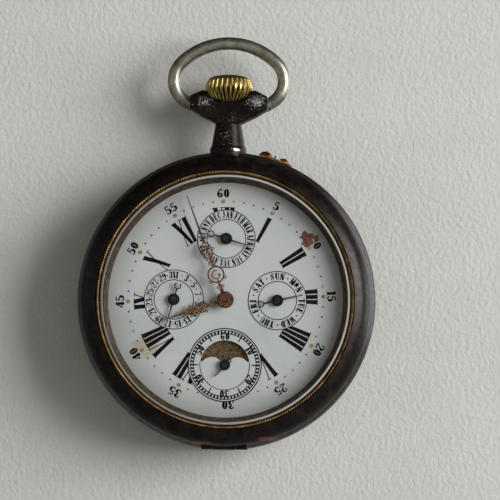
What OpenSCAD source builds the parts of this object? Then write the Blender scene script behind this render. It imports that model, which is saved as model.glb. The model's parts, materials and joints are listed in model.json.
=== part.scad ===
// Open-face calendar pocket watch with moon phase, hanging upright from its bow.
// Every sub-part is drawn face up: x to the right, y towards twelve o'clock and z from the
// back of the case towards the viewer. upright() then stands it up, with +Z towards the bow.

/* [Case] */
// Largest radius of the case middle
case_r = 33; // [31:0.5:36]
// How much the case middle swells between its two joints
band_swell = 0.8; // [0.4:0.1:1.2]
// Height of the case middle between its two joints
band_h = 8.2; // [8.2:0.1:9]
// Height of the back joint above the flat back
back_h = 3.8; // [3.6:0.1:4.2]
// Radius of the flat on the back
back_flat_r = 22; // [19:0.5:23]
// Sheet thickness of the back cover
cover_t = 0.6; // [0.4:0.05:0.7]
// Sheet thickness of the inner dust cover
cuvette_t = 0.5; // [0.3:0.05:0.6]
// Radius of the inner dust cover
cuvette_r = 27.3; // [26.8:0.1:27.4]
// Height of the dust cover's outer face above the flat back
cuvette_z = 1.7; // [1.6:0.05:1.8]
// Height of the bezel above the front joint, to the top of its convex edge
bezel_h = 5.8; // [5.4:0.1:6.4]
// Width of the convex part of the bezel
bezel_w = 3.7; // [3.4:0.1:3.8]
// Radius of the convex edge of the bezel
bezel_round = 5.2; // [4.8:0.1:6]
// Width of the milled gilt ring inside the bezel
ring_w = 0.8; // [0.6:0.1:0.9]
// Play between the milled ring and the glass
glass_play = 0.2; // [0.1:0.05:0.3]
// Thickness of the glass
glass_t = 1.1; // [0.8:0.1:1.3]
// Rise of the domed glass from its edge to its middle
glass_rise = 2.9; // [2:0.1:3.4]
// Depth of the snap rims of the bezel and the back
snap_h = 0.9; // [0.6:0.1:1]
// Running play between parts that open or slide
play = 0.12; // [0.08:0.01:0.15]
// Length of each three-part hinge
hinge_len = 10; // [8:0.5:12]
// Outer radius of a hinge knuckle
knuckle_r = 0.6; // [0.5:0.05:0.65]
// Radius of a hinge pin
hinge_pin_r = 0.2; // [0.15:0.01:0.25]
// Radial play of a pin or pivot in its hole
fit = 0.03; // [0.02:0.01:0.05]

/* [Pendant and bow] */
// Height of the bow's pivots above the middle of the dial
bow_pivot_y = 43.7; // [42.5:0.1:45]
// Width across the ears of the pendant
ears_w = 17; // [16:0.5:18]
// Radius of an ear, seen from the side
ear_r = 3.1; // [2.8:0.1:3.4]
// Height of the saddle between the ears, above the pivots
saddle_h = 0.2; // [0.1:0.1:0.5]
// Radius of the pendant's neck
neck_r = 2.85; // [2.6:0.05:3.1]
// Distance of the neck below the pivots
neck_drop = 4.4; // [4:0.1:4.8]
// Radius of the pendant's foot
foot_r = 4.05; // [3.8:0.05:4.1]
// Width of the bow outside
bow_w = 27.2; // [26.8:0.1:28]
// Height of the top of the bow above its pivots, outside
bow_h = 14.9; // [14.5:0.1:15.5]
// Height of the bow's widest part above its pivots
bow_wide_y = 5.2; // [5:0.1:5.4]
// Radius of the curve at each side of the bow
bow_side_r = 5.6; // [5.4:0.1:5.8]
// Radius of the bow's wire
bow_wire_r = 1.4; // [1.3:0.05:1.45]
// Radius of the bow's end pins
bow_pin_r = 0.8; // [0.6:0.05:1]
// Radius of the crown
crown_r = 5.2; // [4.6:0.1:5.2]
// Height of the crown
crown_h = 6.2; // [5.6:0.1:6.8]
// Number of flutes round the crown
crown_flutes = 28; // [20:1:32]
// Radius of the winding stem
stem_r = 0.7; // [0.5:0.05:0.8]
// Angle of the hand-setting pin, clockwise from the pendant
set_angle = 18.6; // [17:0.2:24]
// Radius of the hand-setting pin
set_pin_r = 0.5; // [0.4:0.05:0.6]
// Travel of the hand-setting pin
set_travel = 0.8; // [0.5:0.1:1]

/* [Dial and hands] */
// Radius of the enamel dial
dial_r = 26.95; // [26.6:0.05:27]
// Thickness of the enamel dial
dial_t = 0.9; // [0.7:0.1:1]
// Height of the dial's face above the flat back
dial_z = 13.8; // [13.7:0.05:13.9]
// Visible radius of the dial inside the inner ring
dial_open_r = 25.85; // [25.6:0.05:26.1]
// Distance of the date and day hands from the middle
side_x = 11.4; // [11.2:0.1:11.6]
// Distance of the month hand above the middle
month_y = 13.5; // [13.3:0.1:13.8]
// Distance of the seconds hand below the middle
seconds_y = 14.3; // [14.1:0.1:14.5]
// Radius of the moon opening
moon_r = 5.45; // [5:0.05:5.6]
// Radius of the two humps that hide the moon
hump_r = 2.6; // [2.4:0.05:2.65]
// Length of the minute hand
minute_len = 24.5; // [23:0.5:25]
// Length of the hour hand
hour_len = 15.3; // [14:0.5:17]
// Length of the three calendar hands
calendar_len = 6; // [5:0.1:6.4]
// Thickness of the hands
hand_t = 0.25; // [0.2:0.05:0.3]

/* [Movement] */
// Radius of the main plate
plate_r = 27; // [26.6:0.1:27.1]
// Height of the main plate's back face
plate_z = 8.4; // [8.3:0.05:8.5]
// Thickness of the main plate under the calendar work
plate_t = 2.2; // [2:0.05:2.3]
// Radius of the bridges
bridge_r = 25.2; // [24.8:0.1:25.3]
// Height of the bridges' back face
bridge_z = 3.9; // [3.8:0.05:4]
// Thickness of the bridges
bridge_t = 1.7; // [1.6:0.05:1.75]
// Thickness of the balance cock
cock_t = 1; // [0.8:0.05:1.05]
// Distance of the barrel from the middle
barrel_a = 12; // [11.8:0.1:12.2]
// Direction of the barrel from the middle
barrel_dir = 45; // [42:1:48]
// Teeth of the barrel
barrel_n = 84; // [78:1:90]
// Leaves of the centre pinion
center_leaves = 12; // [10:1:14]
// Distance between the centre and third arbors
center_a = 9.9; // [9.8:0.05:10]
// Teeth of the centre wheel
center_n = 80; // [75:1:84]
// Leaves of the third and fourth pinions
train_leaves = 10; // [9:1:11]
// Distance between the third and fourth arbors
third_a = 8.1; // [8:0.05:8.2]
// Teeth of the third wheel
third_n = 75; // [70:1:80]
// Distance between the fourth and escape arbors
fourth_a = 6.6; // [6.5:0.05:6.7]
// Teeth of the fourth wheel
fourth_n = 80; // [75:1:84]
// Leaves of the escape pinion
escape_leaves = 8; // [7:1:9]
// Radius of the escape wheel
escape_r = 3.5; // [3.3:0.05:3.6]
// Distance between the pallet and balance staffs
lever_a = 5.6; // [5.4:0.05:5.8]
// Radius of the balance rim
balance_r = 7.6; // [7:0.1:7.7]
// Radius of the arbors
arbor_r = 0.45; // [0.35:0.05:0.5]
// Radius of the pivots
pivot_r = 0.2; // [0.12:0.01:0.25]
// Radius of a bridge screw's head
screw_head_r = 1.3; // [1:0.1:1.4]
// Radius of a screw's shank
screw_r = 0.6; // [0.4:0.05:0.7]
// Outer radius of a jewel
jewel_r = 0.75; // [0.6:0.05:0.9]

/* [Hidden] */
$fn = 64;
big = 100;
eps = 0.01;

// Case levels and radii
joint_r = case_r - band_swell;
front_z = back_h + band_h;
mid_z = back_h + band_h / 2;
bezel_top_z = front_z + bezel_h;
ring_r = joint_r - bezel_w;
glass_r = ring_r - ring_w - glass_play;
seat_r = glass_r - 0.35;
seat_z = bezel_top_z - 1.4;
rehaut_r = seat_r - play;
rehaut_top_z = seat_z - 0.75;
bore_r = plate_r + 0.15;
ledge_r = bridge_r + 0.4;
snap_r = joint_r - 1.4;
groove_out_r = joint_r - cover_t - 0.2;
groove_in_r = groove_out_r - 0.9;
hinge_y = -(joint_r + 0.05);
cuvette_hinge = [-(cuvette_r + 0.62), cuvette_z + 1.05];
cuvette_knuckle_r = 0.42;
notch_y = -(joint_r - 1);

// The back's edge is an arc that starts level at the flat and ends at the joint
back_arc_w = joint_r - back_flat_r;
back_arc_r = (back_arc_w * back_arc_w + back_h * back_h) / (2 * back_h);
back_in_r = back_flat_r + sqrt(pow(back_arc_r - cover_t, 2) - pow(back_arc_r - back_h, 2));
// The case middle's outside is one arc through both joints
band_arc_r = (pow(band_h / 2, 2) + band_swell * band_swell) / (2 * band_swell);

// Movement levels, from the back towards the dial
plate_top_z = plate_z + plate_t;
dial_back_z = dial_z - dial_t;
bridge_top_z = bridge_z + bridge_t;
wheel_t = 0.4;
pinion_t = 0.6;
center_wheel_z = bridge_top_z + 0.3;
barrel_z = bridge_top_z + 1;
barrel_h = 2.8;
barrel_rim_t = 0.8;
third_wheel_z = bridge_top_z + 1.3;
fourth_wheel_z = plate_z - 0.6;
escape_z = bridge_top_z + 1.1;
escape_bridge_z = center_wheel_z;
escape_bridge_t = 0.5;
balance_z = bridge_z + 0.8;
balance_t = 1;
cock_z = bridge_z - cock_t;
spring_z = bridge_z + 0.2;
recess_z = bridge_z + 0.85;
winding_z = bridge_z + 0.2;
winding_t = 0.55;

// Arbor places
center = [0, 0];
fourth = [0, -seconds_y];
third_y = -(center_a * center_a - third_a * third_a + seconds_y * seconds_y) / (2 * seconds_y);
third = [-sqrt(center_a * center_a - third_y * third_y), third_y];
escape_dir = -20;
pallet_dir = 70;
lever_dir = 50;
escape = fourth + polar(fourth_a, escape_dir);
pallet_a = escape_r / cos(30);
pallet = escape + polar(pallet_a, pallet_dir);
balance = pallet + polar(lever_a, lever_dir);
barrel_at = polar(barrel_a, barrel_dir);
barrel_pitch_r = barrel_a * barrel_n / (barrel_n + center_leaves);

// Winding work
crown_wheel_n = 30;
ratchet_n = 48;
crown_wheel_at = [0, 16.6];
winding_m = 2 * norm(crown_wheel_at - barrel_at) / (crown_wheel_n + ratchet_n);
winding_dir = atan2(barrel_at[1] - crown_wheel_at[1], barrel_at[0] - crown_wheel_at[0]);
winding_pinion_n = 20;
winding_pinion_r = mid_z - winding_z - winding_t - 0.1;
winding_pinion_y = crown_wheel_at[1] + crown_wheel_n * winding_m / 2 - 0.4;
winding_pinion_t = 1;
clutch_r = 1.5;
clutch_len = 1.8;

// Motion work
motion_a = 5;
motion_dir = -50;
cannon_n = 10;
minute_n = 30;
minute_leaves = 8;
hour_n = 32;
minute_at = polar(motion_a, motion_dir);
minute_z = plate_top_z + 0.2;
hour_z = plate_top_z + 0.9;
drive_a = 6;
drive_n = 32;
drive_leaves = 16;
drive_z = plate_top_z + 1.5;
drive_t = 0.35;
drive_dir = 56.25;
date_drive = polar(drive_a, 90 + drive_dir);
day_drive = polar(drive_a, 90 - drive_dir);
star_z = plate_top_z + 0.3;
star_t = 0.5;
star_r = 4.4;
moon_z = dial_back_z - 0.55;
moon_t = 0.3;
moon_n = 59;
moon_disc_r = moon_r + 0.75;
date_at = [-side_x, 0];
day_at = [side_x, 0];
month_at = [0, month_y];

// Hand levels
small_hand_z = dial_z + 0.6;
hour_hand_z = dial_z + 1.15;
minute_hand_z = dial_z + 1.8;
hour_angle = 251.4;
minute_angle = 339;
date_angle = 196;
day_angle = 77;
month_angle = 107;
seconds_angle = 220;

gunmetal = [0.13, 0.12, 0.12];
steel = [0.62, 0.62, 0.64];
blued = [0.1, 0.11, 0.16];
gilt = [0.72, 0.52, 0.22];
nickel = [0.62, 0.6, 0.55];
enamel = [0.9, 0.91, 0.9];
copper = [0.6, 0.33, 0.22];
ruby = [0.6, 0.05, 0.15];

function polar(r, a) = [r * cos(a), r * sin(a)];
function arc(r, a0, a1, n = 8) = [for (i = [0 : n]) polar(r, a0 + (a1 - a0) * i / n)];
function clock(a) = 90 - a;

module upright() rotate([90, 0, 0]) children();
module at(p, a = 0) translate([p[0], p[1], 0]) rotate(a) children();
module disc(r, z0, z1) translate([0, 0, z0]) cylinder(r = r, h = z1 - z0);
module ring(r_out, r_in, z0, z1) translate([0, 0, z0]) linear_extrude(z1 - z0) annulus(r_out, r_in);
module annulus(r_out, r_in) difference() { circle(r_out); circle(r_in); }
module slab(z0, z1) translate([0, 0, z0]) linear_extrude(z1 - z0) children();
module spun() rotate_extrude($fn = 128) children();
module along_x(r, len) rotate([0, 90, 0]) cylinder(r = r, h = len, center = true);
module along_y(r, y0, y1) translate([0, y0, 0]) rotate([-90, 0, 0]) cylinder(r = r, h = y1 - y0);
module bar(p, q, w) translate(p) rotate(atan2(q[1] - p[1], q[0] - p[0]))
    translate([0, -w / 2]) square([norm(q - p), w]);

// A wheel's rim of straight-flanked teeth; the first tooth points in direction phase
function tooth(n, m, i, phase, add, ded) = let (a = phase + 360 * i / n, half = 75 / n)
    [polar(n * m / 2 - ded * m, a - half * 1.25), polar(n * m / 2, a - half),
     polar(n * m / 2 + add * m, a - half * 0.4), polar(n * m / 2 + add * m, a + half * 0.4),
     polar(n * m / 2, a + half), polar(n * m / 2 - ded * m, a + half * 1.25)];
module teeth(n, m, phase, add = 0.9, ded = 1.3)
    polygon([for (i = [0 : n - 1]) each tooth(n, m, i, phase, add, ded)]);

// A crossed-out wheel: toothed rim, a hub and evenly spaced spokes
module spoked(n, m, phase, hub, spokes, spoke_w) {
    inner = n * m / 2 - 1.3 * m - 0.8;
    difference() {
        teeth(n, m, phase);
        circle(inner);
    }
    circle(hub);
    for (i = [0 : spokes - 1]) rotate(360 * i / spokes) translate([0, -spoke_w / 2])
        square([inner + 0.2, spoke_w]);
}

// An arbor with a pivot at each end
module arbor(z0, z1, r = arbor_r, pivot = pivot_r, len0 = 0.9, len1 = 0.9) {
    disc(r, z0, z1);
    disc(pivot, z0 - len0, z0);
    disc(pivot, z1, z1 + len1);
}

// Case

module band_outside() {
    translate([case_r - band_arc_r, mid_z]) circle(band_arc_r, $fn = 256);
}

// The filled outer form of the case middle, which the pendant and the guard are fitted to
module band_envelope() {
    spun() intersection() {
        band_outside();
        translate([case_r - band_arc_r + 1, back_h]) square([band_arc_r, band_h]);
    }
}

// A hinge has three knuckles: the middle one opens, the outer two are fixed
module middle_knuckle(p, r) translate([0, p[0], p[1]]) along_x(r, hinge_len / 2);
module outer_knuckles(p, r) for (s = [-1, 1])
    translate([s * (hinge_len * 3 / 8 + play / 2), p[0], p[1]]) along_x(r, hinge_len / 4 - play);
module outer_room(p, r) for (s = [-1, 1])
    translate([s * hinge_len * 3 / 8, p[0], p[1]]) along_x(r, hinge_len / 4 + 2 * play);
module pin_hole(p) translate([0, p[0], p[1]]) along_x(hinge_pin_r + fit, hinge_len + 2);

bezel_hinge = [hinge_y, front_z];
back_hinge = [hinge_y, back_h];

// A flat web, drawn in the plane across a hinge, of a given length along it
module web(len) translate([-len / 2, 0, 0]) rotate([90, 0, 90]) linear_extrude(len) children();

// Things set radially into the case middle at an angle, drawn along x
module radial(a, z) rotate(a) translate([0, 0, z]) rotate([0, 90, 0]) children();

case_screw_at = [for (s = [-1, 1]) [s * (ledge_r - 1), 4.3]];
case_screw_r = 1.6;
case_lip_t = 0.6;

module case_band() color(gunmetal) upright() difference() {
    union() {
        spun() {
            difference() {
                intersection() {
                    band_outside();
                    translate([ledge_r, back_h]) square([band_arc_r, band_h]);
                }
                translate([ledge_r - 1, plate_z]) square([bore_r - ledge_r + 1, band_h]);
                translate([groove_in_r, back_h - 1]) square([groove_out_r - groove_in_r, 1 + snap_h]);
            }
            translate([bore_r, front_z - eps]) square([snap_r - bore_r, snap_h + eps]);
            translate([ledge_r, cuvette_z + cuvette_t + 0.05])
                square([cuvette_r - ledge_r, back_h - cuvette_z - cuvette_t]);
        }
        outer_knuckles(bezel_hinge, knuckle_r);
        outer_knuckles(back_hinge, knuckle_r);
        outer_knuckles(cuvette_hinge, cuvette_knuckle_r);
        for (s = [-1, 1]) translate([s * (hinge_len * 3 / 8 + play / 2), 0, 0])
            web(hinge_len / 4 - play) bar([1 - cuvette_r - 0.8, back_h - 0.5], cuvette_hinge, 0.5);
    }
    middle_knuckle(bezel_hinge, knuckle_r + play);
    middle_knuckle(back_hinge, knuckle_r + play);
    for (p = [bezel_hinge, back_hinge, cuvette_hinge]) pin_hole(p);
    along_y_at_stem(stem_r + 0.1, 20, 40);
    radial(clock(set_angle), mid_z) cylinder(r = set_pin_r + 0.05, h = 40);
    for (p = case_screw_at) at(p) disc(case_screw_r + 0.1, -1, plate_z - case_lip_t);
    for (p = case_screw_at) at(p) disc(screw_r + 0.05, 0, plate_z + 1);
}

module along_y_at_stem(r, y0, y1) translate([0, 0, mid_z]) along_y(r, y0, y1);

crown_y = bow_pivot_y + saddle_h + 0.15;
crown_base_r = 3.1;

// The crown's outline, widest part and flattened dome, with r along x
module crown_outline(grow = 0) {
    shoulder = 2.6;
    dome_r = 12;
    polygon([[0, -grow], [crown_base_r + grow, -grow], [crown_r - 0.24 + grow, crown_h - 4],
        [crown_r + grow, crown_h - 2.9], [0, crown_h - 2.9]]);
    translate([crown_r - shoulder, crown_h - 2.9]) circle(shoulder + grow);
    intersection() {
        translate([0, crown_h - dome_r]) circle(dome_r + grow, $fn = 128);
        square([crown_r - shoulder + eps, crown_h + 1]);
    }
}

module turned_y(y) translate([0, y, mid_z]) rotate([-90, 0, 0]) rotate_extrude() children();

// Front outline of the pendant's head: two ears, a saddle between them and the neck below
module head_front() {
    neck_y = -neck_drop;
    half = ears_w / 2;
    right = [[3.3, saddle_h + 0.2], [4.9, ear_r - 0.3], [5.7, ear_r - 0.05], [6.4, ear_r - 0.35],
        [half, 1.6], [half, -1.3], [half - 2.6, -2.9], [neck_r + 1.2, -3.75], [neck_r, neck_y]];
    last = len(right) - 1;
    polygon(concat([[0, saddle_h]], [for (p = right) [-p[0], p[1]]], [for (i = [last : -1 : 0]) right[i]]));
}

// Side outline of the head: round ears that narrow to the neck
module head_side() {
    circle(ear_r);
    polygon([[-neck_r, -neck_drop], [neck_r, -neck_drop], [ear_r * 0.96, -1], [-ear_r * 0.96, -1]]);
}

module pendant() color(gunmetal) upright() difference() {
    union() {
        translate([0, bow_pivot_y, mid_z]) intersection() {
            translate([0, 0, -ear_r - 1]) linear_extrude(2 * ear_r + 2) head_front();
            rotate([0, 90, 0]) translate([0, 0, -ears_w]) linear_extrude(2 * ears_w) head_side();
        }
        turned_y(0) polygon([[0, case_r - 2], [foot_r, case_r - 2], [foot_r, case_r + 0.7],
            [foot_r - 0.15, case_r + 1.05], [foot_r - 0.35, case_r + 1.25],
            [neck_r, bow_pivot_y - neck_drop], [0, bow_pivot_y - neck_drop]]);
    }
    band_envelope();
    along_y_at_stem(stem_r + 0.1, case_r - 5, bow_pivot_y + 5);
    turned_y(crown_y) crown_outline(0.15);
    for (s = [-1, 1]) translate([s * (ears_w / 2 - 1.4), bow_pivot_y, mid_z])
        along_x(bow_pin_r + fit, 2.9);
}

// The convex part of the bezel stands on a short straight wall
bezel_wall = bezel_h - sqrt(pow(bezel_round, 2) - pow(bezel_round - bezel_w, 2));
hollow_r = ring_r + 0.6;

module bezel() color(gunmetal) upright() {
    difference() {
        spun() difference() {
            union() {
                translate([seat_r, front_z]) square([joint_r - seat_r, bezel_wall]);
                intersection() {
                    translate([joint_r - bezel_round, front_z + bezel_wall])
                        circle(bezel_round, $fn = 256);
                    translate([seat_r, front_z]) square([joint_r - seat_r, bezel_h]);
                }
            }
            translate([0, seat_z]) square([ring_r, bezel_h]);
            polygon([[0, front_z - 1], [snap_r + 0.1, front_z - 1],
                [snap_r + 0.1, front_z + snap_h + 0.1], [hollow_r, front_z + snap_h + 1],
                [hollow_r, seat_z - 0.6], [0, seat_z - 0.6]]);
        }
        outer_room(bezel_hinge, knuckle_r + play);
        translate([0, notch_y, front_z]) rotate([30, 0, 0]) translate([-case_r, -10, -10])
            cube([2 * case_r, 10, 20]);
        pin_hole(bezel_hinge);
    }
    difference() {
        union() {
            middle_knuckle(bezel_hinge, knuckle_r);
            web(hinge_len / 2) bar(bezel_hinge + [0, knuckle_r / 2], [notch_y + 0.1, front_z + 1.1], 0.6);
        }
        pin_hole(bezel_hinge);
    }
}

module bezel_ring() color(gilt) upright() spun() translate([ring_r - ring_w / 2, seat_z]) {
    translate([-ring_w / 2, 0]) square([ring_w, 0.75]);
    translate([0, 0.75]) circle(ring_w / 2);
}

glass_edge = 0.7;
glass_top_z = seat_z + glass_edge + glass_rise;
glass_out_r = (glass_r * glass_r + glass_rise * glass_rise) / (2 * glass_rise);
glass_in_rise = glass_edge + glass_rise - glass_t;
glass_in_w = glass_r - 0.9;
glass_in_r = (glass_in_w * glass_in_w + glass_in_rise * glass_in_rise) / (2 * glass_in_rise);

module crystal() color([0.8, 0.85, 0.88, 0.25]) upright() spun() difference() {
    intersection() {
        translate([0, glass_top_z - glass_out_r]) circle(glass_out_r, $fn = 1440);
        polygon([[0, seat_z], [glass_r, seat_z], [glass_r, seat_z + glass_edge * 0.6],
            [glass_r - 0.4, seat_z + glass_edge + 0.1], [0, glass_top_z + 1]]);
    }
    translate([0, glass_top_z - glass_t - glass_in_r]) circle(glass_in_r, $fn = 1440);
}

module rehaut_ring() color([0.35, 0.24, 0.13]) upright() spun()
    polygon([[dial_open_r, dial_z], [dial_r, dial_z], [rehaut_r, dial_z + 0.6],
        [rehaut_r, rehaut_top_z], [rehaut_r - 0.25, rehaut_top_z]]);

module back_cover() color(gunmetal) upright() difference() {
    union() {
        spun() {
            square([back_flat_r + eps, cover_t]);
            intersection() {
                difference() {
                    translate([back_flat_r, back_arc_r]) circle(back_arc_r, $fn = 256);
                    translate([back_flat_r, back_arc_r]) circle(back_arc_r - cover_t, $fn = 256);
                }
                translate([back_flat_r, 0]) square([back_arc_w, back_h]);
            }
        }
        difference() {
            ring(back_in_r + 0.02, back_in_r - cover_t, back_h - 0.6, back_h + snap_h - 0.2);
            translate([-case_r, -case_r - 1, back_h - 1])
                cube([2 * case_r, case_r + 1 - sqrt(pow(back_in_r, 2) - pow(hinge_len + 2, 2)), 3]);
        }
        middle_knuckle(back_hinge, knuckle_r);
        web(hinge_len / 2) bar(back_hinge + [0, -knuckle_r / 2], [1 - joint_r, back_h - 0.3], 0.6);
    }
    outer_room(back_hinge, knuckle_r + play);
    pin_hole(back_hinge);
}

module cuvette() color(nickel) upright() difference() {
    union() {
        disc(cuvette_r, cuvette_z, cuvette_z + cuvette_t);
        middle_knuckle(cuvette_hinge, cuvette_knuckle_r);
        web(hinge_len / 2) bar([-cuvette_r, cuvette_z + 0.2], cuvette_hinge, 0.3);
    }
    pin_hole(cuvette_hinge);
}

module hinge_pins() color(steel) upright() for (p = [bezel_hinge, back_hinge, cuvette_hinge])
    translate([0, p[0], p[1]]) along_x(hinge_pin_r, hinge_len);

// Bow, crown and setting pin

// The bow's centre line is an oval: a wide top arc, side arcs, and straight ends that slope to the ears
bow_half = bow_w / 2 - bow_wire_r;
bow_u = bow_half - bow_side_r;
bow_v = bow_h - bow_wire_r - bow_wide_y;
bow_top_r = (bow_u * bow_u + bow_v * bow_v - bow_side_r * bow_side_r) / (2 * (bow_v - bow_side_r));
bow_top_y = bow_h - bow_wire_r - bow_top_r;
bow_join = atan2(bow_wide_y - bow_top_y, bow_u);
bow_end_turn = 60;
bow_end_len = 2.1;
// The top arc is brazed to each side with a seam that stands this little above the wire
bow_seam = 0.01;

module wire_arc(p, r, a0, a1) translate([p[0], p[1], 0]) rotate(a0)
    rotate_extrude(angle = a1 - a0, $fn = 96) translate([r, 0]) circle(bow_wire_r, $fn = 48);

module bow() color(nickel) upright() translate([0, bow_pivot_y, mid_z]) {
    difference() {
        union() {
            wire_arc([0, bow_top_y], bow_top_r, bow_join, 180 - bow_join);
            for (s = [0, 1]) mirror([s, 0, 0]) {
                wire_arc([bow_u, bow_wide_y], bow_side_r, -bow_end_turn, bow_join);
                translate([bow_u, bow_wide_y, 0]) rotate(bow_join) translate([bow_side_r, 0, 0])
                    along_y(bow_wire_r + bow_seam, -3 * bow_seam, 3 * bow_seam, $fn = 48);
                translate([bow_u, bow_wide_y, 0]) rotate(-bow_end_turn) translate([bow_side_r, 0, 0])
                    along_y(bow_wire_r, -bow_end_len, 0, $fn = 48);
            }
        }
        translate([-ears_w / 2 - play, -5, -5]) cube([ears_w + 2 * play, 8, 10]);
    }
    for (s = [-1, 1]) translate([s * (ears_w / 2 - 0.9), 0, 0]) along_x(bow_pin_r, 3.4);
}

flute_r = 0.42;

module crown() color(gilt) upright() difference() {
    turned_y(crown_y) crown_outline();
    for (i = [0 : crown_flutes - 1])
        translate([0, crown_y, mid_z]) rotate([0, 360 * i / crown_flutes, 0]) flute();
    along_y_at_stem(stem_r, crown_y - 1, crown_y + 3);
}

// One flute follows the lower cone of the crown, then its shoulder, with radius along x
module flute() {
    foot = [crown_base_r + 0.3, -0.3];
    wide = [crown_r + 0.22, crown_h - 3];
    top = [crown_r - 0.75, crown_h + 0.3];
    for (pair = [[foot, wide], [wide, top]])
        translate(pair[0]) rotate(atan2(pair[1][1] - pair[0][1], pair[1][0] - pair[0][0]))
            rotate([0, 90, 0]) cylinder(r = flute_r, h = norm(pair[1] - pair[0]), $fn = 24);
}

stem_in_y = winding_pinion_y - clutch_len - 1.2;

module winding_stem() color(steel) upright() {
    along_y_at_stem(stem_r, stem_in_y, crown_y + 3);
    along_y_at_stem(stem_r * 0.6, stem_in_y - 1, stem_in_y);
}

set_out_r = case_r + 1;
set_in_r = ledge_r - 0.4;

module setting_pin() color(steel) upright() radial(clock(set_angle), mid_z) {
    translate([0, 0, set_in_r]) cylinder(r = set_pin_r, h = set_out_r - set_in_r - 0.15);
    translate([0, 0, set_out_r - 0.2]) cylinder(r = set_pin_r * 0.8, h = 0.2);
}

bead_spread = 4;
guard_t = 0.25;

// A saddle on the case middle with a domed bead on either side of the pin's hole
module pin_guard() color(gilt) upright() difference() {
    union() {
        rotate(clock(set_angle) - 1.6 * bead_spread)
            rotate_extrude(angle = 3.2 * bead_spread, $fn = 256) difference() {
                translate([case_r - 1.5, mid_z - 1.6]) square([1.5 + guard_t, 3.2]);
                band_outside();
            }
        bead(-bead_spread, 1.65, 0.3);
        bead(bead_spread * 0.8, 1.25, 0.15);
    }
    radial(clock(set_angle), mid_z) cylinder(r = set_pin_r + 0.05, h = 40);
}

// A ball sunk into the case middle, kept only where it stands above the saddle's foot
module bead(a, r, sunk) radial(clock(set_angle + a), mid_z) rotate_extrude() intersection() {
    translate([0, case_r - sunk]) circle(r);
    translate([0, case_r + 0.1]) square([r, r]);
}

module case_screws() color(steel) upright() for (p = case_screw_at) at(p) {
    difference() {
        disc(case_screw_r, plate_z - case_lip_t - 0.6, plate_z - case_lip_t);
        translate([-2, -0.15, plate_z - case_lip_t - 0.7]) cube([4, 0.3, 0.35]);
    }
    disc(screw_r, plate_z - case_lip_t - 0.1, plate_z + 1.5);
}

// Dial and hands

hump_x = moon_r - hump_r;
hump_y = 0.85;
hand_arbor_r = 0.45;
hour_pipe_r = 1.05;
foot_at = [for (a = [135, 245, 335]) polar(bridge_r - 1.6, a)];
dial_foot_r = 0.5;

// The upper half of the moon's circle, less the two humps
module moon_opening() difference() {
    circle(moon_r);
    translate([-moon_r, -2 * moon_r]) square([2 * moon_r, 2 * moon_r + hump_y * 0.9]);
    for (s = [-1, 1]) translate([s * hump_x, -hump_y]) circle(hump_r);
}

module dial() color(enamel) upright() {
    slab(dial_back_z, dial_z) difference() {
        circle(dial_r, $fn = 256);
        circle(hour_pipe_r + 0.3);
        for (p = [date_at, day_at, month_at, fourth]) at(p) circle(hand_arbor_r + 0.15);
        at(fourth) moon_opening();
    }
    for (p = foot_at) at(p) disc(dial_foot_r, plate_top_z - 1.2, dial_back_z);
}

module moon_disc() color([0.36, 0.26, 0.13]) upright() at(fourth) slab(moon_z, moon_z + moon_t)
    difference() {
        teeth(moon_n, 2 * (moon_disc_r - 0.1) / moon_n, 0, 1, 1.4);
        circle(hand_arbor_r + 0.35 + fit);
    }

// A pair of small scrolls on either side of a hand's stem
module scrolls(y, x, r) for (s = [-1, 1]) translate([s * x, y]) annulus(r, r * 0.45);

// Two arcs that meet in points, drawn as an open loop
module pointed_loop(y0, y1, half_w, rim) {
    half_l = (y1 - y0) / 2;
    r = (half_l * half_l + half_w * half_w) / (2 * half_w);
    translate([0, (y0 + y1) / 2]) difference() {
        pointed(r, half_w);
        pointed(r - rim, half_w - rim);
    }
}
module pointed(r, half_w) intersection() {
    translate([r - half_w, 0]) circle(r);
    translate([half_w - r, 0]) circle(r);
}

// A C-shaped scroll with a bead at its inner end
module volute(p, r, a) translate(p) rotate(a) {
    difference() {
        annulus(r, r - 0.26);
        polygon([[0, 0], polar(2 * r, -75), polar(2 * r, -5)]);
    }
    translate(polar(r - 0.3, -78)) circle(0.3, $fn = 24);
}

module needle(y0, y1, w0, w1) polygon([[-w0 / 2, y0], [w0 / 2, y0], [w1 / 2, y1], [-w1 / 2, y1]]);

// Pierced hand: a collared neck, a scrolled ring, a pointed loop and a needle
module fancy_hand(ring_y, ring_hand_r, loop_y0, loop_y1, loop_w, needle_y, len) {
    needle(1, ring_y - ring_hand_r + 0.1, 0.75, 0.5);
    for (k = [0.35, 0.75]) translate([0, 1.5 + k * (ring_y - ring_hand_r - 1.5)]) circle(0.5 - k * 0.12);
    scrolls(1.5 + 0.62 * (ring_y - ring_hand_r - 1.5), 0.55, 0.34);
    translate([0, ring_y]) annulus(ring_hand_r, ring_hand_r - 0.34);
    volute([0, ring_y], ring_hand_r * 0.55, 60);
    translate([0, ring_y - ring_hand_r * 0.75]) square([0.3, ring_hand_r * 0.6], center = true);
    scrolls(ring_y - ring_hand_r * 0.62, ring_hand_r * 0.88, 0.36);
    needle(ring_y + ring_hand_r - 0.2, loop_y0 + 0.3, 0.55, 0.5);
    scrolls((ring_y + ring_hand_r + loop_y0) / 2, 0.5, 0.36);
    pointed_loop(loop_y0, loop_y1, loop_w, 0.3);
    for (k = [0.34, 0.62]) volute([0, loop_y0 + k * (loop_y1 - loop_y0)], loop_w * 0.52, 200 * k);
    needle(loop_y0 + 0.2, loop_y1 - 0.2, 0.26, 0.22);
    scrolls(loop_y0 + 0.5 * (loop_y1 - loop_y0), loop_w + 0.12, 0.32);
    needle(loop_y1 - 0.3, needle_y, 0.5, 0.42);
    scrolls((loop_y1 + needle_y) / 2, 0.42, 0.3);
    needle(needle_y - 0.2, len, 0.44, 0.16);
}

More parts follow.
